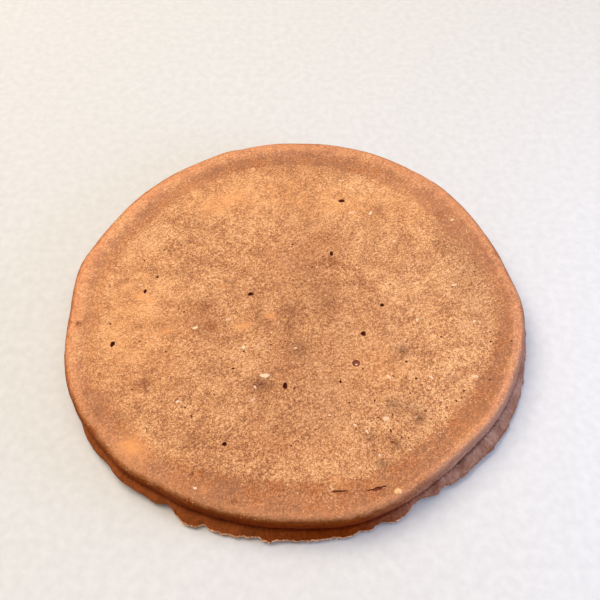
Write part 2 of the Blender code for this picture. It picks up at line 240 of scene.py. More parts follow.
# Lumps and small folds of the lip: bearing, height, half length, half height and how far they stand out
LIP_LUMPS = (
    (267.5, 2.7, 0.9, 0.7, 0.35), (281.5, 3.5, 1.7, 0.35, 0.35), (278.0, 2.3, 0.8, 0.3, 0.3),
    (312.5, 3.3, 1.7, 1.2, 0.35), (246.0, 2.6, 1.5, 0.8, 0.25), (256.0, 2.4, 2.0, 0.6, 0.2),
    (231.0, 3.0, 3.0, 0.8, 0.2), (301.0, 2.6, 2.0, 0.5, 0.3), (322.0, 3.0, 2.5, 0.6, 0.3),
    (35.0, 3.0, 2.0, 0.7, 0.3), (88.0, 2.8, 2.5, 0.6, 0.3), (121.0, 3.2, 1.6, 0.8, 0.3),
    (158.0, 3.0, 2.2, 0.7, 0.3), (288.5, 3.4, 1.4, 0.3, 0.35), (292.0, 2.9, 1.6, 0.35, 0.35),
    (296.5, 3.2, 1.2, 0.4, 0.3), (304.5, 3.4, 1.5, 0.5, 0.35),
)

# Browning of the face: x, y, half length, half width, turn, shares browned, orange and ashen. The broad
# patches also paint light and shade: brighter on the left, darker over the middle, the right and the front
PATCHES = (
    (0.0, 17.0, 14.0, 12.0, 0.0, 0.42, 0.00, 0.00), (-27.0, -6.5, 7.0, 9.0, 20.0, 0.50, 0.00, 0.15),
    (8.0, -14.0, 26.0, 24.0, 0.0, 0.28, 0.00, 0.12), (5.0, 8.0, 5.0, 15.0, 20.0, 0.20, 0.00, 0.25),
    (-45.0, -8.0, 13.0, 24.0, 10.0, 0.00, 0.45, 0.00), (-23.0, 36.5, 10.0, 4.0, 20.0, 0.00, 0.40, 0.00),
    (-8.0, 39.0, 32.0, 8.0, 0.0, 0.00, 0.45, 0.00), (34.0, 34.0, 12.0, 8.0, -45.0, 0.00, 0.25, 0.00),
    (19.0, 34.0, 8.0, 4.0, -10.0, 0.00, 0.40, 0.00), (24.0, -22.0, 6.0, 7.0, 0.0, 0.00, 0.35, 0.00),
    (-40.1, -45.8, 4.6, 3.4, -40.0, 0.00, 1.00, 0.00), (-6.4, -6.0, 1.8, 1.3, 10.0, 0.00, 0.90, 0.00),
    (-14.2, -9.3, 2.2, 1.6, 0.0, 0.00, 0.90, 0.00), (-20.3, 4.3, 1.5, 1.0, 10.0, 0.00, 0.90, 0.00),
    (-44.0, 0.7, 1.5, 1.1, 0.0, 0.00, 0.90, 0.00), (-40.3, -0.5, 1.3, 0.9, 0.0, 0.00, 0.80, 0.00),
    (-35.2, -11.0, 1.6, 1.2, 0.0, 0.00, 0.80, 0.00), (-36.1, -2.0, 2.0, 1.5, 0.0, 0.60, 0.00, 0.35),
    (-25.0, -2.3, 2.2, 1.6, 0.0, 0.50, 0.00, 0.35), (-26.6, 12.9, 3.0, 1.5, 10.0, 0.50, 0.00, 0.30),
    (-22.8, -9.3, 2.0, 1.6, 0.0, 0.70, 0.00, 0.20), (-39.3, -28.0, 3.4, 2.0, 10.0, 0.60, 0.00, 0.40),
    (-36.4, -9.3, 2.6, 2.0, 0.0, 0.50, 0.00, 0.20), (-50.7, -35.3, 1.6, 1.8, 0.0, 0.70, 0.00, 0.30),
    (-54.5, -29.6, 1.6, 1.8, 0.0, 0.60, 0.00, 0.20), (-25.5, -44.3, 3.2, 2.2, 20.0, 0.25, 0.00, 0.45),
    (-33.4, -42.8, 1.8, 1.4, 0.0, 0.60, 0.00, 0.20), (-21.9, -23.4, 4.2, 3.4, 0.0, 0.40, 0.00, 0.35),
    (29.5, -17.3, 2.0, 1.9, 0.0, 0.00, 0.00, 1.00), (32.1, -37.9, 1.7, 1.7, 0.0, 0.00, 0.00, 1.00),
    (26.1, -44.9, 1.5, 1.5, 0.0, 0.00, 0.00, 0.80), (22.0, -49.9, 1.6, 1.3, 0.0, 0.00, 0.00, 0.90),
    (30.1, -34.8, 4.2, 3.2, 0.0, 0.05, 0.00, 0.45), (42.3, -26.0, 2.0, 1.5, 0.0, 0.50, 0.00, 0.40),
    (25.5, -34.0, 2.0, 2.0, 0.0, 0.10, 0.00, 0.60), (19.3, -42.6, 1.4, 1.3, 0.0, 0.00, 0.00, 0.80),
    (-8.9, -27.8, 2.8, 2.2, 0.0, 0.20, 0.00, 0.80), (1.6, -16.8, 3.0, 3.0, 0.0, 0.10, 0.00, 0.80),
    (9.8, -2.1, 2.6, 4.2, 0.0, 0.15, 0.00, 0.30), (10.8, 13.0, 3.6, 2.2, -10.0, 0.70, 0.00, 0.40),
    (-1.1, -4.2, 3.6, 3.2, 0.0, 0.30, 0.00, 0.50), (44.4, 31.4, 1.6, 1.3, 0.0, 1.20, 0.00, 0.00),
    (0.0, -56.0, 32.0, 5.0, 0.0, 0.08, 0.00, 0.08), (-48.0, -38.0, 6.0, 10.0, 50.0, 0.30, 0.00, 0.00),
    (46.0, -40.0, 8.0, 10.0, -45.0, 0.10, 0.15, 0.00), (-21.5, -57.0, 1.4, 1.0, 0.0, 0.00, 0.60, 0.00),
    (10.5, -54.6, 2.4, 1.5, 0.0, 0.00, 0.90, 0.00), (12.2, -56.4, 1.8, 0.5, 4.0, 0.00, 0.80, 0.00),
    (20.3, -55.2, 2.6, 0.5, 15.0, 0.00, 0.60, 0.00), (-2.0, -45.0, 20.0, 7.0, 0.0, 0.45, 0.00, 0.00),
    (-59.5, -8.9, 0.9, 0.8, 0.0, 1.60, 0.00, 0.00), (-14.1, -59.9, 0.9, 0.8, 0.0, 1.20, 0.00, 0.00),
    (2.0, 51.0, 34.0, 5.0, 0.0, 0.35, 0.00, 0.00), (51.0, 12.0, 8.0, 24.0, 0.0, 0.05, 0.00, 0.30),
    (2.0, -36.0, 16.0, 8.0, 0.0, 0.10, 0.00, 0.16), (12.5, -56.9, 2.4, 0.9, 4.0, 0.90, 0.00, 0.20),
    (21.0, -57.2, 3.0, 1.0, 15.0, 0.80, 0.00, 0.20), (10.5, 21.5, 6.0, 4.5, 0.0, 0.35, 0.00, 0.15),
)

# Bran flecks: x, y, length, width, turn in degrees, paleness
FLECKS = (
    (-27.3, -9.9, 1.7, 1.0, 20, 1.0), (-18.3, -7.0, 2.1, 1.1, 30, 0.45), (-13.7, -16.2, 1.1, 1.2, 80, 0.9),
    (-6.3, -11.4, 0.8, 0.6, 0, 0.8), (-30.1, -32.9, 1.3, 0.8, 25, 1.0), (-7.9, -25.0, 3.2, 1.6, 0, 0.8),
    (-10.2, -28.5, 1.5, 0.8, 120, 0.6), (-10.6, -32.2, 2.1, 0.7, 50, 0.45), (-23.8, -56.5, 1.1, 0.8, 0, 0.8),
    (0.5, -16.4, 1.1, 0.9, 0, 0.6), (36.4, -25.7, 1.9, 0.7, -48, 0.9), (47.9, -25.3, 2.2, 1.2, 5, 0.6),
    (25.1, -25.5, 1.7, 0.8, -55, 0.8), (23.6, -37.7, 1.9, 1.5, 0, 0.6), (15.6, -39.5, 1.0, 0.9, 0, 0.7),
    (18.6, -41.4, 1.3, 0.7, -55, 0.9), (9.2, -36.7, 0.9, 0.7, 0, 0.7), (21.4, -47.7, 0.8, 0.7, 90, 0.8),
    (29.1, -46.4, 0.8, 0.6, 0, 0.7), (49.9, -7.8, 1.3, 0.7, 40, 0.9), (34.1, -7.3, 1.0, 0.8, 90, 0.8),
    (45.8, 4.8, 1.9, 0.8, 10, 0.85), (48.0, 29.5, 1.8, 0.8, 30, 0.8), (29.8, 21.1, 1.6, 0.9, 70, 0.6),
    (14.7, 45.8, 2.2, 0.9, 0, 0.5), (23.2, 32.2, 1.9, 1.2, 60, 0.7), (17.3, 32.2, 2.3, 0.9, 20, 0.6),
    (-40.5, 42.0, 1.5, 0.7, 40, 0.5), (-36.6, 46.0, 1.2, 0.7, 30, 0.5), (-13.4, 50.9, 1.7, 0.8, 10, 0.5),
    (-4.3, -8.2, 1.4, 0.4, 70, 0.6), (-9.9, -15.8, 2.4, 0.4, 65, 0.45), (17.0, -13.6, 1.5, 0.4, 85, 0.5),
    (14.3, -57.0, 1.2, 0.35, 60, 0.7), (15.0, -57.6, 0.9, 0.35, -20, 0.6),
    (9.2, -56.2, 1.9, 0.5, 120, 0.45), (19.2, -56.3, 1.6, 0.3, 20, 0.1), (22.0, -56.2, 1.3, 0.3, 8, 0.1),
    # The first fleck on the next line lies in the crumb-lined dish: a pale fleck that is a painted highlight
    # of its moist glint
    (16.7, -21.6, 0.7, 0.5, 0, 1.0), (-16.0, -19.6, 0.7, 0.5, 0, 0.8), (-44.0, 4.9, 1.4, 0.7, 20, 0.5),
    (-39.0, -12.9, 1.4, 0.5, 25, 0.5), (-6.5, 27.0, 1.2, 0.5, 30, 0.4), (33.0, -4.0, 1.2, 0.4, 60, 0.5),
)

# The batter bead: x, y, width across, depth and height
BATTER_BEAD = (25.3, -57.3, 2.0, 1.6, 0.55)

# Seeded marks on the face keep to this radius, and pin pores keep this far apart
SCATTER_REACH = 58.0
PORE_SPACING = 1.3

# Where pin pores are dense: x, y, half length, half width and share, over an even share of the rest
PORE_SPOTS = (
    (28, -34, 17, 13, 1.0), (5, 13, 13, 11, 0.9), (36, 8, 17, 16, 0.35), (-22, -28, 16, 14, 0.35),
    (4, -42, 22, 10, 0.5), (-40, 5, 16, 24, 0.12),
)
PORE_FLOOR = 0.06

# Open bubbles in the underside, set round a spiral that turns by the golden angle, and its pin pores
UNDER_BUBBLES = 10
UNDER_BUBBLE_REACH = 54.0
GOLDEN_ANGLE = 137.5
UNDER_PORES = 70
UNDER_PORE_SPACING = 2.2

# Whole numbers that scatter the noise's seeded values over its lattice
LATTICE_KEYS = np.array([73856093, 19349663, 83492791])
SEED_KEY = 26544357
MIX_KEY = 12741261

# How fast a soft round mark falls off
BELL_FALL = 1.2

# Layers of noise in the crust's relief: share, cell size in millimetres, seed
FACE_LAYERS = ((0.5, 1.15, 11), (0.7, 2.3, 12), (0.8, 5.5, 13))
RIM_LAYERS = ((0.5, 1.3, 14), (0.6, 2.6, 21), (1.0, 5.0, 15))
SIDE_LAYERS = ((0.5, 1.3, 16), (1.3, 3.2, 17), (1.0, 7.0, 18))
WRINKLE_LAYERS = ((0.6, 0.9, 19), (1.0, 1.9, 20))

# Radii of the drums on which noise and upright wrinkles run round the rim, and the share of the height
# that the wrinkles follow, which draws them out upwards
NOISE_DRUM = 65.0
WRINKLE_DRUM = 66.0
WRINKLE_RISE = 0.35

# Grid of the crust: cells across the face, which ends well inside the rim, columns round the rim and
# lip, and cells across the underside
FACE_CELLS = 150
FACE_EDGE = 11.5
COLUMNS = 8 * FACE_CELLS
UNDER_CELLS = FACE_CELLS // 2

# Rows of the crust's edge: from the face over the ring and crest, over the shoulder, and between the
# marks of the side. Rows between the fine ways have twice as many columns as the others
TOP_ROWS = (4, 5, 3)
SHOULDER_ROWS = 10
SIDE_ROWS = (4, 3, 4, 5, 5, 3, 3, 3)
FINE_WAYS = (0.01, 5.01)

# Edges shorter than this are joined after the bubbles are cut, which leaves at least this many faces
SHORTEST_EDGE = 0.003
LEAST_FACES = 1000

# Points of a cut above this height belong to a bubble in the face, and the rest to the underside
CUT_SPLIT_HEIGHT = 5.0

# Edges of the crust that turn by more than this many degrees are sharp
SHARP_TURN = 50

# Ways between which faces are of the side and lip, where their tints end in the tuck, and the
# materials' places in the crust's list
LIP_WAYS = (0.72, 5.4)
TUCK_WAY = 5.2
CRUST_SKIN, CRUMB_SKIN, LIP_SKIN = 0, 1, 2

# Camera of the photo in the plan's millimetres, before the plan is centred on its box
CAMERA_PLACE = (1.62, -131.34, 193.66)
CAMERA_PITCH_DOWN = 54.64
CAMERA_LENS = 48.0
CAMERA_SENSOR = 36.0

# The stage: half the side of the floor in millimetres, and the even light from all round
FLOOR_HALF_SIDE = 3000.0
SURROUND_COLOUR = "f4f4f6"
SURROUND_STRENGTH = 0.3


# Colour, curves and noise


def linear(code):
    """Scene-linear colour with alpha of an sRGB hex code."""
    shares = [int(code[k : k + 2], 16) / 255 for k in (0, 2, 4)]
    return [s / 12.92 if s <= 0.04045 else ((s + 0.055) / 1.055) ** 2.4 for s in shares] + [1.0]


def bearing_of(x, y):
    """Bearing of plan points, in degrees from +X towards +Y."""
    return np.degrees(np.arctan2(y, x))


def plan(radius, bearing):
    """Plan x and y at a radius and a bearing in degrees."""
    return radius * np.cos(np.radians(bearing)), radius * np.sin(np.radians(bearing))


def eased(t):
    """S-shaped rise from 0 to 1: three times the square less twice the cube."""
    return t * t * (3 - 2 * t)


def cubic(start, end, start_slope, end_slope, span, t):
    """Cubic piece from start to end over a span, with a slope at each end, at share t of the way."""
    rise = eased(t)
    return start * (1 - rise) + end * rise + span * t * (1 - t) * (start_slope * (1 - t) - end_slope * t)


def round_curve(points, bearings):
    """Smooth closed curve through (bearing, value) points: cubic pieces with shared slopes."""
    at = np.array([p[0] for p in points], float)
    value = np.tile([p[1] for p in points], 3)
    at = np.concatenate([at - 360, at, at + 360])
    slope = np.gradient(value, at)
    here = np.asarray(bearings, float) % 360
    k = np.searchsorted(at, here, side="right") - 1
    span = at[k + 1] - at[k]
    return cubic(value[k], value[k + 1], slope[k], slope[k + 1], span, (here - at[k]) / span)


def waves(x, y, seed, longest, count):
    """Sum of plane waves in seeded directions, each shorter and lower than the last, about -1 to 1."""
    draw = random.Random(seed)
    total = np.zeros_like(np.asarray(x, float))
    for k in range(count):
        turn = draw.uniform(0, math.pi)
        number = 2 * math.pi * 1.45**k / longest
        along = x * math.cos(turn) + y * math.sin(turn)
        total = total + 0.8**k * np.sin(number * along + draw.uniform(0, 2 * math.pi))
    return total / 2.0


def unevenness(bearing, seed):
    """Slow rise and fall round the edge, about -1 to 1: sines that close after a full turn."""
    draw = random.Random(seed)
    turns = (2, 3, 5, 8, 13)
    parts = [np.sin(np.radians(bearing) * n + draw.uniform(0, 2 * math.pi)) * n**-0.3 for n in turns]
    return sum(parts) / 2.0


def smooth_step(value, low, high):
    """0 below low, 1 above high, and an S-shaped rise between them."""
    return eased(np.clip((value - low) / (high - low), 0, 1))


def grain(points, size, seed):
    """Smooth uneven noise, -1 to 1: a seeded value at each corner of a lattice of cubes that are size
    wide, mixed from the corner's whole numbers, and blended along the three axes by S-shaped shares."""
    at = points / size
    cell = np.floor(at).astype(np.int64)
    share = eased(at - cell)
    total = np.zeros(len(points))
    for corner in range(8):
        step = np.array([corner & 1, corner >> 1 & 1, corner >> 2 & 1])
        key = (cell + step) @ LATTICE_KEYS + seed * SEED_KEY
        key = (key ^ key >> 13) * MIX_KEY
        key = key ^ key >> 17
        value = (key & 0xFFFF) / 32767.5 - 1
        total += np.prod(np.where(step, share, 1 - share), axis=1) * value
    return total


def grain_round(bearing, size, seed):
    """The same noise along the rim, on a drum, so that it closes after a full turn."""
    x, y = plan(NOISE_DRUM, bearing)
    return grain(np.stack([x, y, 0 * x], axis=1), size, seed)


def layered(points, layers):
    """Sum of layers of the same noise, each with its own share, cell size and seed."""
    return sum(share * grain(points, size, seed) for share, size, seed in layers)


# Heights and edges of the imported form


def top_way(inset, shoulder, crest, face):
    """Way of points on the top: 0 where the shoulder starts, -1 at the crest's inner edge, -2 where the
    face starts, and from there less by 1 for each millimetre inwards."""
    on_crest = (shoulder - inset) / (crest - shoulder)
    on_ring = -1 - (inset - crest) / (face - crest)
    way = np.where(inset < crest, on_crest, on_ring)
    return np.where(inset < face, way, -2 - (inset - face))


def inset_and_way(x, y):
    """Distance inside the rim of plan points on the top, and their way."""
    bearing = bearing_of(x, y)
    inset = round_curve(RIM, bearing) - np.hypot(x, y)
    edges = [round_curve(points, bearing) for points in (SHOULDER, CREST, RING)]
    return inset, top_way(inset, *edges)


def top_height(x, y, inset):
    """Height of the top: a crowned crest near the rim, a shallow ring inside it, then the waved face."""
    bearing = bearing_of(x, y)
    crest, face = round_curve(CREST, bearing), round_curve(RING, bearing)
    on_face = smooth_step(inset, crest, face)
    trough = np.sin(np.clip((inset - crest) / (face - crest), 0, 1) * math.pi) ** 2
    fall = CREST_FALL * np.clip(1 - inset / crest, 0, 1) ** 2
    swell = FACE_SWELL * waves(x, y, 4, 52.0, 4) * (0.4 + 0.6 * on_face)
    return THICKNESS + swell - FACE_DROP * on_face - TROUGH_DEPTH * trough - fall


def under_height(x, y):
    """Height of the underside: flat, with shallow dimples pressed up outside the flat spot."""
    dimples = np.clip(waves(x, y, 9, 21.0, 4) - 0.25, 0, 1)
    blend = smooth_step(np.hypot(x, y), FLAT_SPOT_RADIUS, FLAT_SPOT_RADIUS + FLAT_SPOT_BLEND)
    return DIMPLE_DEPTH * dimples * blend


def packed_fray(bearing):
    """In-and-out and up-and-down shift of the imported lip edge: seeded draws at even bearings, joined."""
    draw = random.Random(21)
    out = [(at, draw.uniform(-1, 1) * LIP_FRAY) for at in FRAY_BEARINGS]
    up = [(at, draw.uniform(-0.5, 0.5) * LIP_FRAY) for at in FRAY_BEARINGS]
    return round_curve(out, bearing), round_curve(up, bearing)


def plan_centre():
    """Middle of the lip edge's box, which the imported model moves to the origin."""
    bearing = FRAY_BEARINGS
    reach = round_curve(RIM, bearing) + round_curve(LIP, bearing) + packed_fray(bearing)[0]
    edge = np.stack(plan(reach, bearing), axis=1)
    return np.append((edge.min(axis=0) + edge.max(axis=0)) / 2, 0.0)


# Grid of the crust


def disc_map(cells):
    """Square grid bent to a disc: a point's share of the radius is its larger square coordinate, and
    its bearing runs evenly along each side, so the outer ring has evenly spaced bearings."""
    side = np.linspace(-1, 1, cells + 1)
    a, b = np.meshgrid(side, side, indexing="ij")
    share = np.maximum(np.abs(a), np.abs(b))
    safe = np.where(share == 0, 1, share)
    flat = np.abs(a) >= np.abs(b)
    bearing = np.where(flat, 45 * b / safe, 90 - 45 * a / safe)
    bearing = np.where(flat & (a < 0), 180 - 45 * b / safe, bearing)
    bearing = np.where(~flat & (b < 0), 270 + 45 * a / safe, bearing)
    return share.ravel(), bearing.ravel()


def disc_edge(cells):
    """Indices of the outer ring of a disc grid, from bearing -45 degrees round."""
    n = cells
    index = np.arange((n + 1) ** 2).reshape(n + 1, n + 1)
    return np.concatenate([index[n, :n], index[n:0:-1, n], index[0, n:0:-1], index[:n, 0]])


def disc_quads(cells):
    """Faces of a disc grid: the four corners of each of its squares."""
    index = np.arange((cells + 1) ** 2).reshape(cells + 1, cells + 1)
    corners = (index[:-1, :-1], index[1:, :-1], index[1:, 1:], index[:-1, 1:])
    return np.stack([c.ravel() for c in corners], axis=1)


class Edge:
    """The curves that run round the pancake, read at any bearings."""

    def __init__(self, bearing):
        self.cos, self.sin = np.cos(np.radians(bearing)), np.sin(np.radians(bearing))
        self.rim = round_curve(RIM, bearing)
        self.shoulder = round_curve(SHOULDER, bearing)
        self.crest = round_curve(CREST, bearing)
        self.face = round_curve(RING, bearing)
        self.crease = round_curve(CREASE, bearing)
        self.bulge = round_curve(BULGE, bearing)
        self.lip = round_curve(LIP, bearing)
        self.ragged = np.clip(round_curve(RAGGED, bearing), 0.05, 1)
        self.lift = EDGE_UNEVENNESS * unevenness(bearing, 33)
        self.out, self.up = packed_fray(bearing)

    def top(self, inset):
        radius = self.rim - inset
        return radius, top_height(radius * self.cos, radius * self.sin, inset)


def side_marks(edge, bearing, size):
    """Way, radius and height of the wall, the crease, the lip's root, bulge, edge and underside, the
    tuck, the contact ring and a ring inside it. Noise round the rim frays the lip's edge and lets the
    crease wander."""
    teeth = 0.6 * grain_round(bearing, 2.2, 3) + 0.6 * grain_round(bearing, 0.9, 4)
    out = edge.out + size.fray * edge.ragged * teeth
    up = edge.up + 0.35 * size.fray * edge.ragged * grain_round(bearing, 2.3, 5)
    wander = 0.2 * grain_round(bearing, 5.0, 6)
    groove = 0.3 + 0.25 * grain_round(bearing, 7.0, 7)
    crease = edge.crease + edge.lift + wander
    root = edge.crease - LIP_ROOT_DROP + edge.lift
    lip_edge = LIP_EDGE_HEIGHT + edge.lift
    under_edge = lip_edge - LIP_EDGE_THICKNESS
    reach = edge.rim + edge.lip + out
    contact = edge.rim - CONTACT_INSET
    inner = 0.93 * contact
    return [
        (1.7, edge.rim - 0.12, crease + 0.45),
        (2.0, edge.rim - CREASE_INSET - groove, crease),
        (2.3, edge.rim - 0.15 + 0.15 * edge.lip, root + 0.5 * wander),
        (3.0, edge.rim + 0.6 * edge.lip + edge.bulge + 0.3 * out, (root + lip_edge) / 2),
        (4.0, reach, lip_edge + up),
        (4.4, reach - LIP_EDGE_THICKNESS / 2, under_edge + up),
        (5.0, edge.rim - TUCK_INSET + 0.3 * edge.lip, TUCK_HEIGHT + 0.4 * edge.lift),
        (6.0, contact, under_height(contact * edge.cos, contact * edge.sin)),
        (7.0, inner, under_height(inner * edge.cos, inner * edge.sin)),
    ]


def edge_stations(bearing, size):
    """Radius, height and way of each row of the crust's edge, from the face to the contact ring.

    The rows follow the face's edge, the ring and the crest, then a quarter ellipse for the shoulder,
    then a cubic curve through the side's marks. Way is 0 where the shoulder starts, 1 at the widest
    point of the rim, 2 in the crease, 4 at the lip's edge and 6 at the contact ring.
    """
    edge = Edge(bearing)
    radius, height, way = [], [], []
    starts, ends = (FACE_EDGE, edge.face, edge.crest), (edge.face, edge.crest, edge.shoulder)
    for start, end, rows in zip(starts, ends, TOP_ROWS):
        for share in np.arange(1, rows + 1) / rows:
            inset = start * (1 - share) + end * share
            r, z = edge.top(inset)
            radius.append(r)
            height.append(z)
            way.append(top_way(inset, edge.shoulder, edge.crest, edge.face))
    for turn in np.linspace(90, 0, SHOULDER_ROWS + 1)[1:]:
        r, z = edge.top(edge.shoulder * (1 - math.cos(math.radians(turn))))
        radius.append(r)
        height.append(z - SHOULDER_STEEPNESS * edge.shoulder * (1 - math.sin(math.radians(turn))))
        way.append(1 - turn / 90 + 0 * r)

    marks = [(0.9, radius[-2], height[-2]), (1.0, radius[-1], height[-1])]
    marks += side_marks(edge, bearing, size)
    ways = [mark[0] for mark in marks]
    marks = np.array([[np.broadcast_to(v, edge.rim.shape) for v in mark[1:]] for mark in marks])
    gaps = np.linalg.norm(np.diff(marks.mean(axis=2), axis=0), axis=1)
    at = np.concatenate([[0], np.cumsum(gaps)])
    slope = (marks[2:] - marks[:-2]) / (at[2:] - at[:-2])[:, None, None]
    for k, rows in enumerate(SIDE_ROWS):
        span = at[k + 2] - at[k + 1]
        for t in np.arange(1, rows + 1) / rows:
            r, z = cubic(marks[k + 1], marks[k + 2], slope[k], slope[k + 1], span, t)
            radius.append(r)
            height.append(z)
            way.append(ways[k + 1] * (1 - t) + ways[k + 2] * t + 0 * r)
    return np.array(radius), np.array(height), np.array(way)


def bridge(first, second):
    """Faces between two rings of points: quads where they have as many points, or three triangles for
    each point of the coarser one where the other has twice as many."""
    if len(first) == len(second):
        quads = np.stack([first, second, np.roll(second, -1), np.roll(first, -1)], axis=1)
        return quads, np.empty((0, 3), int)
    few, many = sorted((first, second), key=len)
    following = np.roll(few, -1)
    a, b, c = many[0::2], many[1::2], np.roll(many, -2)[0::2]
    joins = np.concatenate(
        [np.stack([few, a, b], axis=1), np.stack([few, b, following], axis=1),
         np.stack([following, b, c], axis=1)]
    )
    return np.empty((0, 4), int), joins if few is first else joins[:, ::-1]


def crust_grid(size):
    """Points, ways and faces of the whole crust: a bent square grid for the face, rows round the rim
    that are twice as fine over the shoulder, side and lip, and a coarser bent square grid for the
    underside, joined without a seam."""
    share, bearing = disc_map(FACE_CELLS)
    x, y = plan((round_curve(RIM, bearing) - FACE_EDGE) * share, bearing)
    inset, face_way = inset_and_way(x, y)
    face = np.stack([x, y, top_height(x, y, inset)], axis=1)

    bearing = -45 + 360 * np.arange(COLUMNS) / COLUMNS
    radius, height, way = edge_stations(bearing, size)
    rings, ways, last = [disc_edge(FACE_CELLS)], [face_way], len(face)
    rows = [face]
    for r, z, w in zip(radius[:-1], height[:-1], way[:-1]):
        step = 1 if FINE_WAYS[0] < w[0] < FINE_WAYS[1] else 2
        rows.append(np.stack([*plan(r, bearing), z], axis=1)[::step])
        ways.append(w[::step])
        rings.append(last + np.arange(len(rows[-1])))
        last += len(rows[-1])

    share, bearing = disc_map(UNDER_CELLS)
    radius = (round_curve(RIM, bearing) - CONTACT_INSET) * share
    x, y = plan(radius, bearing)
    rows.append(np.stack([x, y, under_height(x, y)], axis=1))
    ways.append(6 + round_curve(RIM, bearing) - CONTACT_INSET - radius)
    rings.append(last + disc_edge(UNDER_CELLS))

    bands = [bridge(first, second) for first, second in zip(rings, rings[1:])]
    quads = [disc_quads(FACE_CELLS), *(band[0] for band in bands), disc_quads(UNDER_CELLS)[:, ::-1] + last]
    joins = np.concatenate([band[1] for band in bands])
    return np.concatenate(rows), np.concatenate(ways), np.concatenate(quads), joins


def point_normals(points, quads, joins):
    """Unit normal at each point: the sum of its faces' normals, each as long as twice its area."""
    corners = np.concatenate([quads[:, [0, 1, 2]], quads[:, [0, 2, 3]], joins])
    a, b, c = (points[corners[:, k]] for k in range(3))
    cross = np.cross(b - a, c - a)
    total = np.zeros_like(points)
    for axis in range(3):
        for k in range(3):
            total[:, axis] += np.bincount(corners[:, k], cross[:, axis], len(points))
    return total / np.maximum(np.linalg.norm(total, axis=1), 1e-9)[:, None]


# Relief, browning and painted light


def bell(points, x, y, half_length, half_width, turn):
    """Soft round mark, 1 in the middle: falls with the square of the distance over its half sizes."""
    turn = math.radians(turn)
    dx, dy = points[:, 0] - x, points[:, 1] - y
    along = (dx * math.cos(turn) + dy * math.sin(turn)) / half_length
    across = (dy * math.cos(turn) - dx * math.sin(turn)) / half_width
    return np.exp(-BELL_FALL * (along**2 + across**2))


def relief(points, way, size):
    """Outward shift at each point: frosted grain on both faces, smoother swellings on the rim, lumps
    and upright wrinkles on the side and lip, a dip round each open bubble, the low rises and the
    lumps of the lip."""
    top = smooth_step(-way, 1.6, 3.5)
    under = smooth_step(way, 7.0, 10.0)
    side = smooth_step(way, 0.9, 1.6) * (1 - smooth_step(way, 4.2, 5.2))
    face = np.maximum(top, 0.8 * under)
    outward = points[:, :2] / np.maximum(np.hypot(points[:, 0], points[:, 1]), 1)[:, None]
    upright = np.column_stack([WRINKLE_DRUM * outward, WRINKLE_RISE * points[:, 2]])
    fine, smooth = layered(points, FACE_LAYERS), layered(points, RIM_LAYERS)
    lumps, wrinkles = layered(points, SIDE_LAYERS), layered(upright, WRINKLE_LAYERS)
    shift = size.grain * (face * fine + (1 - face) * (1 - side) * smooth)
    shift += side * (size.lumps * lumps + size.wrinkles * wrinkles)
    on_top = way < 0.5
    for x, y, width, length, _ in BUBBLES:
        shift -= 0.1 * on_top * bell(points, x, y, 0.8 * width, 0.8 * length, 0)
    for x, y, half_length, half_width, turn, height in RISES:
        shift += height * on_top * bell(points, x, y, half_length, half_width, turn)
    on_lip = smooth_step(way, 2.0, 2.5) * (1 - smooth_step(way, 3.6, 4.1))
    bearing = bearing_of(points[:, 0], points[:, 1])
    for middle, height, half_length, half_height, out in LIP_LUMPS:
        along = ((bearing - middle + 180) % 360 - 180) * math.pi / 180 * WRINKLE_DRUM / half_length
        above = (points[:, 2] - height) / half_height
        shift += out * on_lip * np.exp(-BELL_FALL * (along**2 + above**2))
    return shift


def browning_and_painted_light(points, way):
    """Three shares at each point. On the top they are browned, orange and ashen: the sum of the face's
    soft patches, whose broad ones also paint light and shade, and the tone of the rim, partly painted
    shade at the front and right. On the side and lip they are the pale fringe and the warmth of the
    batter, and from the shoulder outwards the third is the painted sheen of the low cool light."""
    total = np.zeros((len(points), 3))
    for x, y, half_length, half_width, turn, *shares in PATCHES:
        total += bell(points, x, y, half_length, half_width, turn)[:, None] * np.array(shares)
    bearing = bearing_of(points[:, 0], points[:, 1])
    top, lip, outer = way < LIP_WAYS[0], (way > 2.0) & (way < TUCK_WAY), way < TUCK_WAY
    total *= top[:, None]
    on_crest = smooth_step(way, -1.4, -0.8)
    # The rim's tone darkens the ring and crest most at the front and right: partly their own bake, partly
    # painted shade
    tone = round_curve(RING_TONE, bearing) * (1 - on_crest) + round_curve(CREST_TONE, bearing) * on_crest
    total[:, 0] += tone * smooth_step(way, -4.0, -2.0) * top
    total[:, 0] += np.clip(1.3 * round_curve(RAGGED, bearing) - 0.3, 0, 1) * lip
    total[:, 1] += round_curve(LIP_WARMTH, bearing) * ~top * outer
    total[:, 2] *= 1 - smooth_step(way, -1.0, -0.3)
    # From the shoulder outwards the third share is the painted sheen of the low cool light
    total[:, 2] += round_curve(PAINTED_SHEEN, bearing) * smooth_step(way, 0.1, 0.6) * outer
    return total


def colour_way(points, way):
    """Way that the colours follow: on the shoulder it lags where the light crest runs further down,
    which moves where the roll's painted shade starts, and inside the ring it leads where the frost
    starts further out."""
    bearing = bearing_of(points[:, 0], points[:, 1])
    on_shoulder = np.sin(np.clip((way + 0.4) / 1.15, 0, 1) * math.pi) ** 2
    lead = round_curve(FROST_REACH, bearing) * smooth_step(-way, 1.2, 2.6)
    return way - round_curve(CREST_REACH, bearing) * on_shoulder - lead


# Lumps, skins and marks


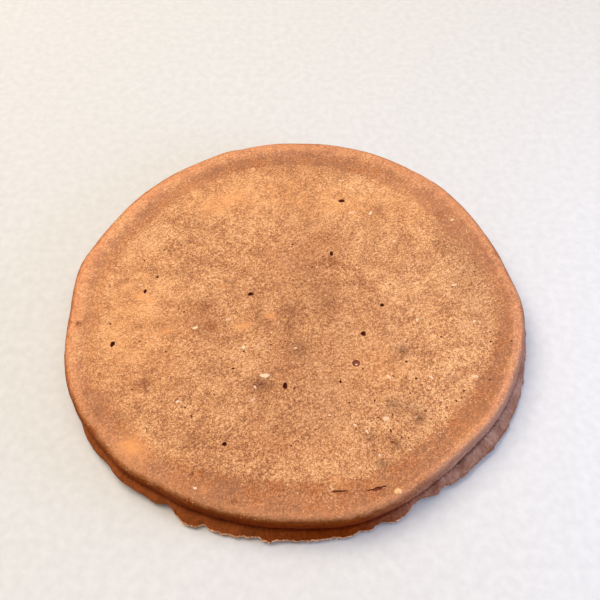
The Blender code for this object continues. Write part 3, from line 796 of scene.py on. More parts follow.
def blobs(centres, half_sizes, turns, seed, segments, rings, uneven):
    """Closed rounded lumps, one for each centre: a ball on a grid of latitude and longitude, with an
    outline made uneven by seeded waves of two, three and five round, scaled, turned and moved."""
    rng = np.random.default_rng(seed)
    count = len(centres)
    fall = (np.pi * np.arange(1, rings + 1) / (rings + 1))[None, :, None]
    around = (2 * np.pi * np.arange(segments) / segments)[None, None, :]
    swell = np.ones((count, rings, segments))
    for n in (2, 3, 5):
        depth = uneven * rng.uniform(0.2, 1, (count, 1, 1))
        swell += depth * np.sin(n * around + rng.uniform(0, 2 * np.pi, (count, 1, 1))) * np.sin(fall)
    wide = np.sin(fall) * swell
    ball = [wide * np.cos(around), wide * np.sin(around), np.cos(fall) * swell]
    ball = np.stack(ball, axis=3).reshape(count, rings * segments, 3)
    tips = np.broadcast_to(np.array([[0, 0, 1.0], [0, 0, -1.0]]), (count, 2, 3))
    ball = np.concatenate([ball, tips], axis=1) * np.asarray(half_sizes, float)[:, None, :]
    cos, sin = np.cos(np.radians(turns))[:, None], np.sin(np.radians(turns))[:, None]
    x, y = ball[:, :, 0] * cos - ball[:, :, 1] * sin, ball[:, :, 0] * sin + ball[:, :, 1] * cos
    points = np.stack([x, y, ball[:, :, 2]], axis=2) + np.asarray(centres, float)[:, None, :]

    index = np.arange(rings * segments).reshape(rings, segments)
    after = np.roll(index, -1, axis=1)
    quads = np.stack([index[:-1].ravel(), index[1:].ravel(), after[1:].ravel(), after[:-1].ravel()], axis=1)
    top, bottom = np.full(segments, rings * segments), np.full(segments, rings * segments + 1)
    caps = np.concatenate(
        [np.stack([top, index[0], after[0]], axis=1), np.stack([bottom, after[-1], index[-1]], axis=1)]
    )
    shift = (np.arange(count) * (rings * segments + 2))[:, None, None]
    return points.reshape(-1, 3), (quads + shift).reshape(-1, 4), (caps + shift).reshape(-1, 3)


def skin_rings(rows, size, segments, sides):
    """Closed uneven tubes lying on the face, one for each row: a circle whose tube is thickest at one
    bearing, thins to a thread opposite it, and is made ragged by seeded waves."""
    rows = np.asarray(rows, float)
    rng = np.random.default_rng(91)
    around = (2 * np.pi * np.arange(segments) / segments)[None, :, None]
    about = (2 * np.pi * np.arange(sides) / sides)[None, None, :]
    count = len(rows)
    thick = 0.03 + 0.07 * np.clip(np.cos(around - np.radians(rows[:, 3])[:, None, None]) + 0.35, 0, 1)
    for n in (3, 5, 8):
        thick = thick * (1 + 0.25 * np.sin(n * around + rng.uniform(0, 2 * np.pi, (count, 1, 1))))
    wide = rows[:, 2, None, None] / 2 * (1 + 0.06 * np.sin(2 * around + rng.uniform(0, 6, (count, 1, 1))))
    reach = wide + thick * np.cos(about)
    x = rows[:, 0, None, None] + reach * np.cos(around)
    y = rows[:, 1, None, None] + reach * np.sin(around)
    level = face_height((rows[:, 0, None, None] + wide * np.cos(around)).ravel(),
                        (rows[:, 1, None, None] + wide * np.sin(around)).ravel(), size)
    z = level.reshape(count, segments, 1) + 1.6 * thick * np.sin(about)
    points = np.stack([x, y, z], axis=3).reshape(-1, 3)
    index = np.arange(segments * sides).reshape(segments, sides)
    on, over = np.roll(index, -1, axis=0), np.roll(index, -1, axis=1)
    quads = np.stack([index, on, np.roll(on, -1, axis=1), over], axis=2).reshape(-1, 4)
    shift = (np.arange(count) * segments * sides)[:, None, None]
    return points, (quads + shift).reshape(-1, 4)


def face_height(x, y, size):
    """Height of the finished face at plan points, relief included."""
    x, y = np.asarray(x, float), np.asarray(y, float)
    inset, way = inset_and_way(x, y)
    points = np.stack([x, y, top_height(x, y, inset)], axis=1)
    return points[:, 2] + relief(points, way, size)


def scattered(count, seed, weight, apart, taken):
    """Seeded plan points on the face, drawn evenly, kept by the weight and apart from one another."""
    rng = np.random.default_rng(seed)
    reach = SCATTER_REACH * np.sqrt(rng.uniform(0, 1, 30 * count))
    turn = rng.uniform(0, 2 * np.pi, len(reach))
    draws = np.stack([reach * np.cos(turn), reach * np.sin(turn)], axis=1)
    draws = draws[rng.uniform(0, 1, len(draws)) < weight(draws)]
    kept = np.array(taken, float).reshape(-1, 2)
    new = []
    for point in draws:
        if len(new) == count:
            break
        if np.hypot(*(kept - point).T).min() > apart:
            kept = np.vstack([kept, point])
            new.append(point)
    return np.array(new)


def pore_weight(points):
    """Pin pores are densest right of the middle, in front of it and behind it, and few at the left."""
    return sum(s * bell(points, x, y, a, b, 0) for x, y, a, b, s in PORE_SPOTS) + PORE_FLOOR


# Bodies that cut the bubbles, dishes and cracks


def bubble_rows(size):
    """Cutting bodies of the open bubbles: each row is a centre, three half sizes and a turn."""
    bubble = np.array(BUBBLES)
    height = face_height(bubble[:, 0], bubble[:, 1], size)
    halves = np.stack([bubble[:, 2] / 2, bubble[:, 3] / 2, bubble[:, 4]], axis=1)
    return np.column_stack([bubble[:, :2], height, halves, 0 * height])


def pin_pore_rows(size):
    """The same rows for the pin pores: the placed ones, then seeded ones that keep clear of them and
    of the bubbles, dishes and cracks. Their depth grows with their width."""
    pins = np.array(PIN_PORES) * (1, 1, PORE_SHARE)
    taken = [mark[:2] for mark in BUBBLES + DISHES]
    taken += [(x + s, y) for x, y, *_ in CRACKS for s in (-2, 0, 2)]
    taken += list(map(tuple, pins[:, :2]))
    more = scattered(size.pores, 41, pore_weight, PORE_SPACING, taken)
    wide = np.random.default_rng(42).uniform(0.25, 0.4, len(more))
    pins = np.concatenate([pins, np.column_stack([more, wide])])
    draw = np.random.default_rng(43)
    stretch = draw.uniform(0.8, 1.25, len(pins))
    halves = np.stack([pins[:, 2] / 2 * stretch, pins[:, 2] / 2 / stretch, 0.25 + 0.5 * pins[:, 2]], axis=1)
    height = face_height(pins[:, 0], pins[:, 1], size)
    turn = draw.uniform(0, 180, len(pins))
    return np.column_stack([pins[:, :2], height, halves, turn])


def dish_row(k, size):
    """The same row for one dish: the ball that meets the face in the dish's circle, at its depth."""
    x, y, width, depth = DISHES[k]
    ball = (width * width / 4 + depth * depth) / (2 * depth)
    z = face_height([x], [y], size)[0] + ball - depth
    return x, y, z, ball, ball, ball, 17.0 * k


def crack_row(k, size):
    """The same row for one crack: half its length, half its width and its depth, turned along it."""
    x, y, length, width, depth, turn = CRACKS[k]
    return x, y, face_height([x], [y], size)[0], length / 2, width / 2, depth, turn


def under_bubble_rows():
    """The same rows for the underside's open bubbles, each a seeded step off the spiral."""
    draw = random.Random(5)
    rows = []
    for k in range(UNDER_BUBBLES):
        radius = UNDER_BUBBLE_REACH * math.sqrt((k + 2.0) / (UNDER_BUBBLES + 1.0))
        bearing = math.radians(GOLDEN_ANGLE * k + draw.uniform(-20, 20))
        x, y = radius * math.cos(bearing), radius * math.sin(bearing)
        width, depth = draw.uniform(1.0, 2.0), draw.uniform(1.2, 2.0)
        rows.append((x, y, float(under_height(x, y)), width / 2, width / 2, depth, 23.0 * k))
    return rows


def under_pore_rows(taken):
    """The same rows for the underside's pin pores, which keep clear of the taken places."""
    more = scattered(UNDER_PORES, 44, lambda p: np.full(len(p), 0.8), UNDER_PORE_SPACING, taken)
    wide = np.random.default_rng(45).uniform(0.4, 0.9, len(more)) / 2
    height = under_height(more[:, 0], more[:, 1])
    return np.column_stack([more, height, wide, wide, wide + 0.4, 0 * wide])


def bubble_cutters(size):
    """Cutting bodies as one joined mesh: points, faces and each face's material: dark crumb for open
    bubbles, torn batter for cracks, and the crust for dishes that keep it."""
    groups = []

    def cut(rows, seed, segments, rings, uneven, skin):
        rows = np.array(rows, float)
        groups.append((*blobs(rows[:, :3], rows[:, 3:6], rows[:, 6], seed, segments, rings, uneven), skin))

    cut(bubble_rows(size), 31, 20, 10, 0.1, CRUMB_SKIN)
    cut(pin_pore_rows(size), 32, 9, 5, 0.15, CRUMB_SKIN)
    for k in range(len(DISHES)):
        cut([dish_row(k, size)], 33 + k, 28, 18, 0.0, CRUMB_SKIN if k == DARK_DISH else CRUST_SKIN)
    for k in range(len(CRACKS)):
        cut([crack_row(k, size)], 51 + k, 30, 8, 0.22, LIP_SKIN)
    under = under_bubble_rows()
    cut(under, 34, 12, 7, 0.12, CRUMB_SKIN)
    cut(under_pore_rows([row[:2] for row in under]), 35, 8, 5, 0.2, CRUMB_SKIN)

    starts = np.cumsum([0] + [len(group[0]) for group in groups])
    points = np.concatenate([group[0] for group in groups])
    quads, caps = (np.concatenate([g[k] + start for g, start in zip(groups, starts)]) for k in (1, 2))
    skins = [np.full(len(group[k]), group[3]) for k in (1, 2) for group in groups]
    return points, quads, caps, np.concatenate(skins)


# Meshes


def new_piece(name, points, quads, triangles, materials, centre, skin=None):
    """Smooth mesh object from arrays in millimetres, moved so that the plan's centre is the origin."""
    data = bpy.data.meshes.new(name)
    data.from_pydata(((points - centre) * MM).tolist(), [], quads.tolist() + triangles.tolist())
    for material in materials:
        data.materials.append(material)
    if skin is not None:
        data.polygons.foreach_set("material_index", skin)
    data.shade_smooth()
    data.update()
    piece = bpy.data.objects.new(name, data)
    bpy.context.scene.collection.objects.link(piece)
    return piece


def store(data, name, kind, values):
    """Writes one value or vector for each point of a mesh to a named attribute."""
    if name in data.attributes:
        data.attributes.remove(data.attributes[name])
    key = {"FLOAT": "value", "FLOAT_VECTOR": "vector"}[kind]
    data.attributes.new(name, kind, "POINT").data.foreach_set(key, np.ravel(values).astype(np.float32))


def read(data, name, width):
    """Values of a point attribute, or the points themselves, as an array."""
    values = np.empty(len(data.vertices) * width, np.float32)
    if name == "co":
        data.vertices.foreach_get("co", values)
    else:
        data.attributes[name].data.foreach_get("value", values)
    return values.reshape(-1, width).astype(float)


def cut_away(piece, cutters):
    """Replaces a piece's mesh by the mesh less the cutters, keeping both sets of materials, and takes
    out the collapsed faces that the cut leaves."""
    change = piece.modifiers.new("Open bubbles", "BOOLEAN")
    change.operation = "DIFFERENCE"
    change.object = cutters
    change.solver = "MANIFOLD"
    change.material_mode = "INDEX"
    graph = bpy.context.evaluated_depsgraph_get()
    data = bpy.data.meshes.new_from_object(piece.evaluated_get(graph), depsgraph=graph)
    shell = bmesh.new()
    shell.from_mesh(data)
    bmesh.ops.dissolve_degenerate(shell, dist=SHORTEST_EDGE * MM, edges=shell.edges[:])
    shell.to_mesh(data)
    shell.free()
    piece.modifiers.clear()
    whole = piece.data
    piece.data = data
    bpy.data.meshes.remove(whole)
    bpy.data.objects.remove(cutters)
    if len(data.polygons) < LEAST_FACES:
        raise RuntimeError("the crust was lost when its open bubbles were cut")


def store_colours(data, centre):
    """Way, and browning with painted light and shade, of each point of the cut crust. Points of the crust
    keep their way, and points that the cut made take the way of the face or the underside at their place."""
    points = read(data, "co", 3) / MM + centre
    kept = read(data, "kept", 1)[:, 0] > 0.999
    inset, cut_way = inset_and_way(points[:, 0], points[:, 1])
    cut_way = np.where(points[:, 2] > CUT_SPLIT_HEIGHT, cut_way, 6 + inset - CONTACT_INSET)
    way = np.where(kept, read(data, "way", 1)[:, 0], cut_way)
    store(data, "way", "FLOAT", colour_way(points, way))
    store(data, "browning_and_painted_light", "FLOAT_VECTOR", browning_and_painted_light(points, way))
    data.attributes.remove(data.attributes["kept"])


# Materials


def node(tree, kind, inputs=None, stops=None, **settings):
    """Adds a node: each input is a value to set or an output to link, and stops are a ramp's colours."""
    new = tree.nodes.new("ShaderNode" + kind)
    for name, value in settings.items():
        setattr(new, name, value)
    for name, value in (inputs or {}).items():
        if isinstance(value, bpy.types.NodeSocket):
            tree.links.new(value, new.inputs[name])
        else:
            new.inputs[name].default_value = value
    if stops:
        ramp = new.color_ramp.elements
        while len(ramp) < len(stops):
            ramp.new(0.5)
        for stop, (at, colour) in zip(ramp, stops):
            stop.position = at
            stop.color = colour
    return new


def new_material(name, roughness, level):
    """Empty material with one Principled shader: returns the material, its tree and the shader."""
    material = bpy.data.materials.new(name)
    material.use_nodes = True
    tree = material.node_tree
    shader = tree.nodes["Principled BSDF"]
    shader.inputs["Roughness"].default_value = roughness
    shader.inputs["Specular IOR Level"].default_value = level
    shader.inputs["IOR"].default_value = 1.45
    return material, tree, shader


def grain_nodes(tree, place):
    """Noise that both the crust and the lip share: fine grain, mottling and clouds."""
    fine = node(tree, "TexNoise", {"Vector": place, "Scale": METRE / 0.7, "Detail": 2.0}).outputs["Fac"]
    mottle = node(tree, "TexNoise", {"Vector": place, "Scale": METRE / 4, "Detail": 3.0}).outputs["Fac"]
    cloud = node(tree, "TexNoise", {"Vector": place, "Scale": METRE / 15, "Detail": 2.0}).outputs["Fac"]
    return fine, mottle, cloud


def crust_material(colours):
    """Baked batter: poured, spread by its own weight and browned on a griddle.

    The face is matt and frosted with pale grain under a millimetre wide over brown, mottled and
    patched where it browned most; its broad patches also paint light and shade across the face.
    The ring inside the rim is smoother and redder, and the rolled rim is darker towards the side,
    partly its own bake and partly painted shade of the side that faces away from the light. A mauve
    film from the shoulder outwards on the right paints the sheen of a low cool light.
    """
    material, tree, shader = new_material("Baked batter crust", 0.75, 0.08)
    place = node(tree, "TexCoord").outputs["Object"]
    way = node(tree, "Attribute", attribute_name="way").outputs["Fac"]
    tint_and_light_shares = node(tree, "Attribute", attribute_name="browning_and_painted_light").outputs["Vector"]
    shares = node(tree, "SeparateXYZ", {0: tint_and_light_shares}).outputs

    # Specks are 0.33 mm, frost grain 0.7 mm, streaks 0.6 by 1.6 mm, mottling 4 mm and clouds 15 mm
    fine, mottle, cloud = grain_nodes(tree, place)
    speck = node(tree, "TexNoise", {"Vector": place, "Scale": METRE / 0.33, "Detail": 1.0}).outputs["Fac"]
    slant = node(tree, "Mapping", {"Vector": place, "Rotation": (0, 0, math.radians(35)),
                                   "Scale": (1.6 * MM, 0.6 * MM, 0.8 * MM)}, vector_type="TEXTURE")
    streak = node(tree, "TexNoise", {"Vector": slant.outputs["Vector"], "Scale": 1.0, "Detail": 2.0,
                                     "Distortion": 0.4}).outputs["Fac"]
    mix = node(tree, "Mix", {0: 0.33, 2: fine, 3: streak}, data_type="FLOAT").outputs[0]
    mix = node(tree, "Mix", {0: 0.3, 2: mix, 3: mottle}, data_type="FLOAT").outputs[0]
    for noise, share in ((speck, 0.7), (cloud, 0.2)):
        shift = node(tree, "Math", {0: noise, 1: share, 2: -share / 2}, operation="MULTIPLY_ADD")
        mix = node(tree, "Math", {0: mix, 1: shift.outputs[0]}, operation="ADD").outputs[0]
    face = node(tree, "ValToRGB", {0: mix}, stops=[
        (0.32, colours.face_dark), (0.5, colours.face_middle), (0.68, colours.face_light)]).outputs[0]

    # Browned, orange and ashen patches, broken up by the mottling; the broad ones also paint light and
    # shade: share, colour, strength and blend
    broken = node(tree, "Math", {0: mottle, 1: 2.2, 2: -0.3}, operation="MULTIPLY_ADD").outputs[0]
    tints = (
        (0, colours.browned, 1.1, "MULTIPLY"), (1, colours.orange, 0.8, "MIX"),
        (2, colours.ashen, 1.1, "MULTIPLY"),
    )
    for share, tint, strength, blend in tints:
        amount = node(tree, "Math", {0: shares[share], 1: broken}, operation="MULTIPLY").outputs[0]
        amount = node(tree, "Math", {0: amount, 1: strength}, operation="MULTIPLY", use_clamp=True)
        face = node(tree, "Mix", {0: amount.outputs[0], 6: face, 7: tint}, data_type="RGBA",
                    blend_type=blend).outputs[2]

    # Dark pits and pale grains a quarter of a millimetre wide, in some cells of a 1.4 mm mesh
    cell = node(tree, "TexVoronoi", {"Vector": place, "Scale": METRE / 1.4})
    chosen = node(tree, "SeparateColor", {0: cell.outputs["Color"]}).outputs
    near = node(tree, "MapRange", {"Value": cell.outputs["Distance"], "From Min": 0.16, "From Max": 0.06},
                interpolation_type="SMOOTHSTEP").outputs[0]
    pit = node(tree, "Math", {0: chosen[0], 1: 0.80}, operation="GREATER_THAN").outputs[0]
    pit = node(tree, "Math", {0: pit, 1: near}, operation="MULTIPLY").outputs[0]
    pale = node(tree, "Math", {0: chosen[0], 1: 0.4}, operation="LESS_THAN").outputs[0]
    pale = node(tree, "Math", {0: pale, 1: near}, operation="MULTIPLY").outputs[0]
    pale = node(tree, "Math", {0: pale, 1: 0.7}, operation="MULTIPLY").outputs[0]

    # Rim by its way: 0 where the shoulder starts, -1 at the crest's inner edge, -2 where the face starts.
    # Past the crest the roll darkens to the side, partly its own bake and partly painted shade of the side
    # that faces away from the light
    wobble = node(tree, "Math", {0: mottle, 1: 1.4, 2: -0.7}, operation="MULTIPLY_ADD").outputs[0]
    along = node(tree, "Math", {0: way, 1: wobble}, operation="ADD").outputs[0]
    along = node(tree, "MapRange", {"Value": along, "From Min": -3.0, "From Max": 2.0}).outputs[0]
    stations = [
        (-2.8, colours.ring), (-1.12, colours.ring), (-0.8, colours.crest), (0.0, colours.crest),
        (0.35, colours.roll), (0.6, colours.roll_dark), (0.9, colours.side),
    ]
    rim = node(tree, "ValToRGB", {0: along}, stops=[((w + 3) / 5, c) for w, c in stations]).outputs[0]
    soft = node(tree, "MapRange", {"Value": mix, "From Min": 0.3, "From Max": 0.7, "To Min": 0.65,
                                   "To Max": 1.35}).outputs[0]
    rim = node(tree, "VectorMath", {0: rim, "Scale": soft}, operation="SCALE").outputs[0]
    # The painted sheen of the low cool light reaches from the start of the shoulder outwards
    outer = node(tree, "MapRange", {"Value": way, "From Min": -0.2, "From Max": 0.0}).outputs[0]
    sheen_on_rim = node(tree, "Math", {0: shares[2], 1: outer}, operation="MULTIPLY").outputs[0]

    # The rim is darkened by its tone, partly painted shade, thins out to orange and takes the painted sheen
    # of the low cool light: share, colour, strength and blend
    tints = (
        (shares[0], colours.rim_tone, 1.0, "MULTIPLY"), (shares[1], colours.orange, 0.7, "MIX"),
        (sheen_on_rim, colours.painted_sheen, 0.8, "MIX"),
    )
    for share, tint, strength, blend in tints:
        amount = node(tree, "Math", {0: share, 1: strength}, operation="MULTIPLY", use_clamp=True)
        rim = node(tree, "Mix", {0: amount.outputs[0], 6: rim, 7: tint}, data_type="RGBA",
                   blend_type=blend).outputs[2]

    # The frosted face thins out grain by grain across the ring, and fades in again inside the tuck
    edge = node(tree, "Math", {0: cloud, 1: 5.0, 2: -7.5}, operation="MULTIPLY_ADD").outputs[0]
    edge = node(tree, "Math", {0: mottle, 1: 6.0, 2: edge}, operation="MULTIPLY_ADD").outputs[0]
    edge = node(tree, "Math", {0: mix, 1: 9.0, 2: edge}, operation="MULTIPLY_ADD").outputs[0]
    inward = node(tree, "Math", {0: edge, 1: way}, operation="SUBTRACT").outputs[0]
    top = node(tree, "MapRange", {"Value": inward, "From Min": 2.4, "From Max": 6.4},
               interpolation_type="SMOOTHSTEP").outputs[0]
    below = node(tree, "MapRange", {"Value": way, "From Min": 6.5, "From Max": 9.5},
                 interpolation_type="SMOOTHSTEP").outputs[0]
    frosted = node(tree, "Math", {0: top, 1: below}, operation="MAXIMUM").outputs[0]
    colour = node(tree, "Mix", {0: frosted, 6: rim, 7: face}, data_type="RGBA").outputs[2]
    colour = node(tree, "Mix", {0: pale, 6: colour, 7: colours.frost}, data_type="RGBA").outputs[2]
    open_face = node(tree, "MapRange", {"Value": frosted, "To Min": 0.2, "To Max": 1.0}).outputs[0]
    pit = node(tree, "Math", {0: pit, 1: open_face}, operation="MULTIPLY").outputs[0]
    colour = node(tree, "Mix", {0: pit, 6: colour, 7: colours.pit}, data_type="RGBA").outputs[2]
    tree.links.new(colour, shader.inputs["Base Color"])

    rough = node(tree, "MapRange", {"Value": frosted, "To Min": 0.6, "To Max": 0.82}).outputs[0]
    tree.links.new(rough, shader.inputs["Roughness"])
    height = node(tree, "Math", {0: pit, 1: -0.8, 2: mix}, operation="MULTIPLY_ADD").outputs[0]
    depth = node(tree, "MapRange", {"Value": frosted, "To Min": 0.6, "To Max": 1.0}).outputs[0]
    bump = node(tree, "Bump", {"Strength": depth, "Distance": 0.22 * MM, "Height": height})
    tree.links.new(bump.outputs["Normal"], shader.inputs["Normal"])
    return material


def lip_material(colours):
    """Moist batter of the side and lip: it ran out under the rim, wrinkled as it set and tore free.

    Redder and darker than the crust, darkest in the fold, with upright streaks, small cells and a
    pale torn edge. The side's dark colours are partly painted shade of the side that faces away from
    the light, and the darkest fold paints the shade of the crease. A mauve film on the right paints
    the sheen of a low cool light. It also lines the cracks, where it is torn crust.
    """
    material, tree, shader = new_material("Moist batter lip", 0.6, 0.02)
    place = node(tree, "TexCoord").outputs["Object"]
    way = node(tree, "Attribute", attribute_name="way").outputs["Fac"]
    tint_and_light_shares = node(tree, "Attribute", attribute_name="browning_and_painted_light").outputs["Vector"]
    pale, warmth, painted_sheen = node(tree, "SeparateXYZ", {0: tint_and_light_shares}).outputs

    # Upright streaks are 0.8 mm wide on a drum of the rim's radius, and cells are 0.45 mm
    fine, mottle, cloud = grain_nodes(tree, place)
    outward = node(tree, "VectorMath", {0: place, 1: (1, 1, 0)}, operation="MULTIPLY").outputs[0]
    outward = node(tree, "VectorMath", {0: outward}, operation="NORMALIZE").outputs[0]
    drum = node(tree, "VectorMath", {0: outward, "Scale": WRINKLE_DRUM * MM}, operation="SCALE").outputs[0]
    rise = node(tree, "VectorMath", {0: place, 1: (0, 0, WRINKLE_RISE)}, operation="MULTIPLY").outputs[0]
    drum = node(tree, "VectorMath", {0: drum, 1: rise}, operation="ADD").outputs[0]
    streak = node(tree, "TexNoise", {"Vector": drum, "Scale": METRE / 0.8, "Detail": 2.0}).outputs["Fac"]
    cells = node(tree, "TexNoise", {"Vector": place, "Scale": METRE / 0.45, "Detail": 1.0}).outputs["Fac"]
    mix = node(tree, "Mix", {0: 0.45, 2: fine, 3: streak}, data_type="FLOAT").outputs[0]
    mix = node(tree, "Mix", {0: 0.3, 2: mix, 3: cells}, data_type="FLOAT").outputs[0]
    mix = node(tree, "Mix", {0: 0.25, 2: mix, 3: mottle}, data_type="FLOAT").outputs[0]

    # Colours by way: 1 at the widest point of the rim, 2 in the fold, 4 at the lip's edge. The side is
    # darker than the batter's own colour and the fold darkest: partly painted shade of the side turned from
    # the light, and of the crease
    wobble = node(tree, "Math", {0: cells, 1: 0.4, 2: -0.2}, operation="MULTIPLY_ADD").outputs[0]
    along = node(tree, "Math", {0: way, 1: wobble}, operation="ADD").outputs[0]
    along = node(tree, "MapRange", {"Value": along, "From Min": 0.0, "From Max": 6.0}).outputs[0]
    stations = [
        (0.45, colours.torn), (0.55, colours.roll_dark), (1.0, colours.side), (1.35, colours.side),
        (1.75, colours.fold), (2.15, colours.fold), (2.5, colours.lip), (3.4, colours.lip),
        (3.8, colours.lip_dark),
    ]
    base = node(tree, "ValToRGB", {0: along}, stops=[(w / 6, c) for w, c in stations]).outputs[0]
    # A ramp of mauve colours paints the sheen of the low cool light on the side and lip, darker in the fold
    # and just above the lip's edge
    stations = [
        (0.5, colours.painted_sheen), (1.35, colours.painted_sheen), (1.7, colours.darker_painted_sheen),
        (2.1, colours.darker_painted_sheen), (2.4, colours.painted_sheen), (3.4, colours.painted_sheen),
        (3.9, colours.darker_painted_sheen),
    ]
    dull = node(tree, "ValToRGB", {0: along}, stops=[(w / 6, c) for w, c in stations]).outputs[0]
    on_lip = node(tree, "MapRange", {"Value": way, "From Min": 1.95, "From Max": 2.5}).outputs[0]
    amount = node(tree, "Math", {0: warmth, 1: on_lip}, operation="MULTIPLY").outputs[0]
    base = node(tree, "Mix", {0: amount, 6: base, 7: colours.lip_warm}, data_type="RGBA").outputs[2]
    amount = node(tree, "Math", {0: mottle, 1: 1.6, 2: 0.1}, operation="MULTIPLY_ADD").outputs[0]
    amount = node(tree, "Math", {0: painted_sheen, 1: amount}, operation="MULTIPLY", use_clamp=True).outputs[0]
    base = node(tree, "Mix", {0: amount, 6: base, 7: dull}, data_type="RGBA").outputs[2]

    # The torn edge is pale in patches of half a millimetre where the lip is ragged
    torn = node(tree, "MapRange", {"Value": along, "From Min": 3.62 / 6, "From Max": 3.85 / 6}).outputs[0]
    under = node(tree, "MapRange", {"Value": way, "From Min": 4.45, "From Max": 4.25}).outputs[0]
    torn = node(tree, "Math", {0: torn, 1: under}, operation="MULTIPLY").outputs[0]
    patchy = node(tree, "Math", {0: fine, 1: 3.0, 2: -0.7}, operation="MULTIPLY_ADD").outputs[0]
    amount = node(tree, "Math", {0: torn, 1: pale}, operation="MULTIPLY").outputs[0]
    amount = node(tree, "Math", {0: amount, 1: patchy}, operation="MULTIPLY", use_clamp=True).outputs[0]
    base = node(tree, "Mix", {0: amount, 6: base, 7: colours.fringe}, data_type="RGBA").outputs[2]
    soft = node(tree, "MapRange", {"Value": mix, "From Min": 0.36, "From Max": 0.64, "To Min": 0.6,
                                   "To Max": 1.4}).outputs[0]
    base = node(tree, "VectorMath", {0: base, "Scale": soft}, operation="SCALE").outputs[0]
    tree.links.new(base, shader.inputs["Base Color"])
    rough = node(tree, "MapRange", {"Value": cloud, "From Min": 0.35, "From Max": 0.65, "To Min": 0.5,
                                    "To Max": 0.66}).outputs[0]
    tree.links.new(rough, shader.inputs["Roughness"])
    bump = node(tree, "Bump", {"Strength": 0.7, "Distance": 0.2 * MM, "Height": mix})
    tree.links.new(bump.outputs["Normal"], shader.inputs["Normal"])
    return material


def mottled_material(name, roughness, level, cell, stops, strength, height):
    """Material of two colours that one noise both mixes and raises: cell is the width of the noise's
    cells and height is the bump's, both in millimetres."""
    material, tree, shader = new_material(name, roughness, level)
    place = node(tree, "TexCoord").outputs["Object"]
    noise = node(tree, "TexNoise", {"Vector": place, "Scale": METRE / cell, "Detail": 2.0}).outputs["Fac"]
    colour = node(tree, "ValToRGB", {0: noise}, stops=stops)
    tree.links.new(colour.outputs[0], shader.inputs["Base Color"])
    bump = node(tree, "Bump", {"Strength": strength, "Distance": height * MM, "Height": noise})
    tree.links.new(bump.outputs["Normal"], shader.inputs["Normal"])
    return material


def crumb_material(colours):
    """Moist open crumb inside the bubbles: set by steam, dark and a little shiny, with soft cells."""
    stops = [(0.3, colours.pore), (0.65, colours.crumb)]
    return mottled_material("Moist open crumb", 0.5, 0.4, 0.5, stops, 0.6, 0.1)


def bran_material(colours):
    """Milled bran: thin cut husk, straw-coloured and matt, toasted to the crust's colour in places."""
    material, tree, shader = new_material("Toasted bran husk", 0.7, 0.4)
    place = node(tree, "TexCoord").outputs["Object"]
    pale = node(tree, "Attribute", attribute_name="paleness").outputs["Fac"]
    fibre = node(tree, "TexNoise", {"Vector": place, "Scale": METRE / 0.6, "Detail": 2.0}).outputs["Fac"]
    amount = node(tree, "Math", {0: fibre, 1: 0.9, 2: -0.45}, operation="MULTIPLY_ADD").outputs[0]
    amount = node(tree, "Math", {0: amount, 1: pale}, operation="ADD", use_clamp=True).outputs[0]
    colour = node(tree, "Mix", {0: amount, 6: colours.bran_toasted, 7: colours.bran}, data_type="RGBA")
    tree.links.new(colour.outputs[2], shader.inputs["Base Color"])
    bump = node(tree, "Bump", {"Strength": 0.5, "Distance": 0.08 * MM, "Height": fibre})
    tree.links.new(bump.outputs["Normal"], shader.inputs["Normal"])
    return material


def bead_material(colours):
    """Half-baked batter: a pale drop that set without browning, smooth with a soft shine."""
    stops = [(0.3, colours.bead_shade), (0.6, colours.bead)]
    return mottled_material("Half-baked batter", 0.45, 0.45, 0.9, stops, 0.4, 0.08)


def skin_material(colours):
    """Thin batter skin: what a burst bubble left standing, dry, matt and toasted in places."""
    stops = [(0.4, colours.skin_shade), (0.6, colours.skin)]
    return mottled_material("Thin batter skin", 0.7, 0.3, 0.6, stops, 0.4, 0.06)


def floor_material(colours):
    """Painted board: rolled matt emulsion, pale, with a faint orange-peel texture."""
    stops = [(0.3, colours.floor_shade), (0.7, colours.floor)]
    return mottled_material("Matt painted board", 0.8, 0.3, 2.5, stops, 0.15, 0.1)


# Sizes, colours and lights that a user would change


def colour_property(name, description, code):
    """Colour with its default as an sRGB hex code."""
    return bpy.props.FloatVectorProperty(
        name=name, description=description, subtype="COLOR", size=4, min=0, max=1, default=linear(code)
    )


def length_property(name, description, default):
    """Length with its default in millimetres."""
    return bpy.props.FloatProperty(
        name=name, description=description, unit="LENGTH", min=0, precision=6, default=default * MM
    )


class PancakeSizes(bpy.types.PropertyGroup):
    """Sizes that change the look of the crust without changing the pancake's own size."""

    grain: length_property("Face grain", "Depth of the frosted grain on the face", 0.06)
    lumps: length_property("Side lumps", "Depth of the lumps on the side and the lip", 0.1)
    wrinkles: length_property("Lip wrinkles", "Depth of the upright wrinkles on the side and lip", 0.08)
    fray: length_property("Lip fray", "How far the torn edge of the lip runs in and out", 0.4)
    fleck: length_property("Fleck height", "How far bran flecks stand out of the crust", 0.08)
    pores: bpy.props.IntProperty(
        name="Pin pores", description="Seeded pin pores besides the placed ones", min=1, max=300, default=60
    )
    streaks: bpy.props.IntProperty(
        name="Bran streaks", description="Seeded small bran streaks besides the placed flecks", min=1,
        max=600, default=240
    )
    crumbs: bpy.props.IntProperty(
        name="Lip crumbs", description="Crumbs caught on the lip's torn edge", min=1, max=600, default=170
    )


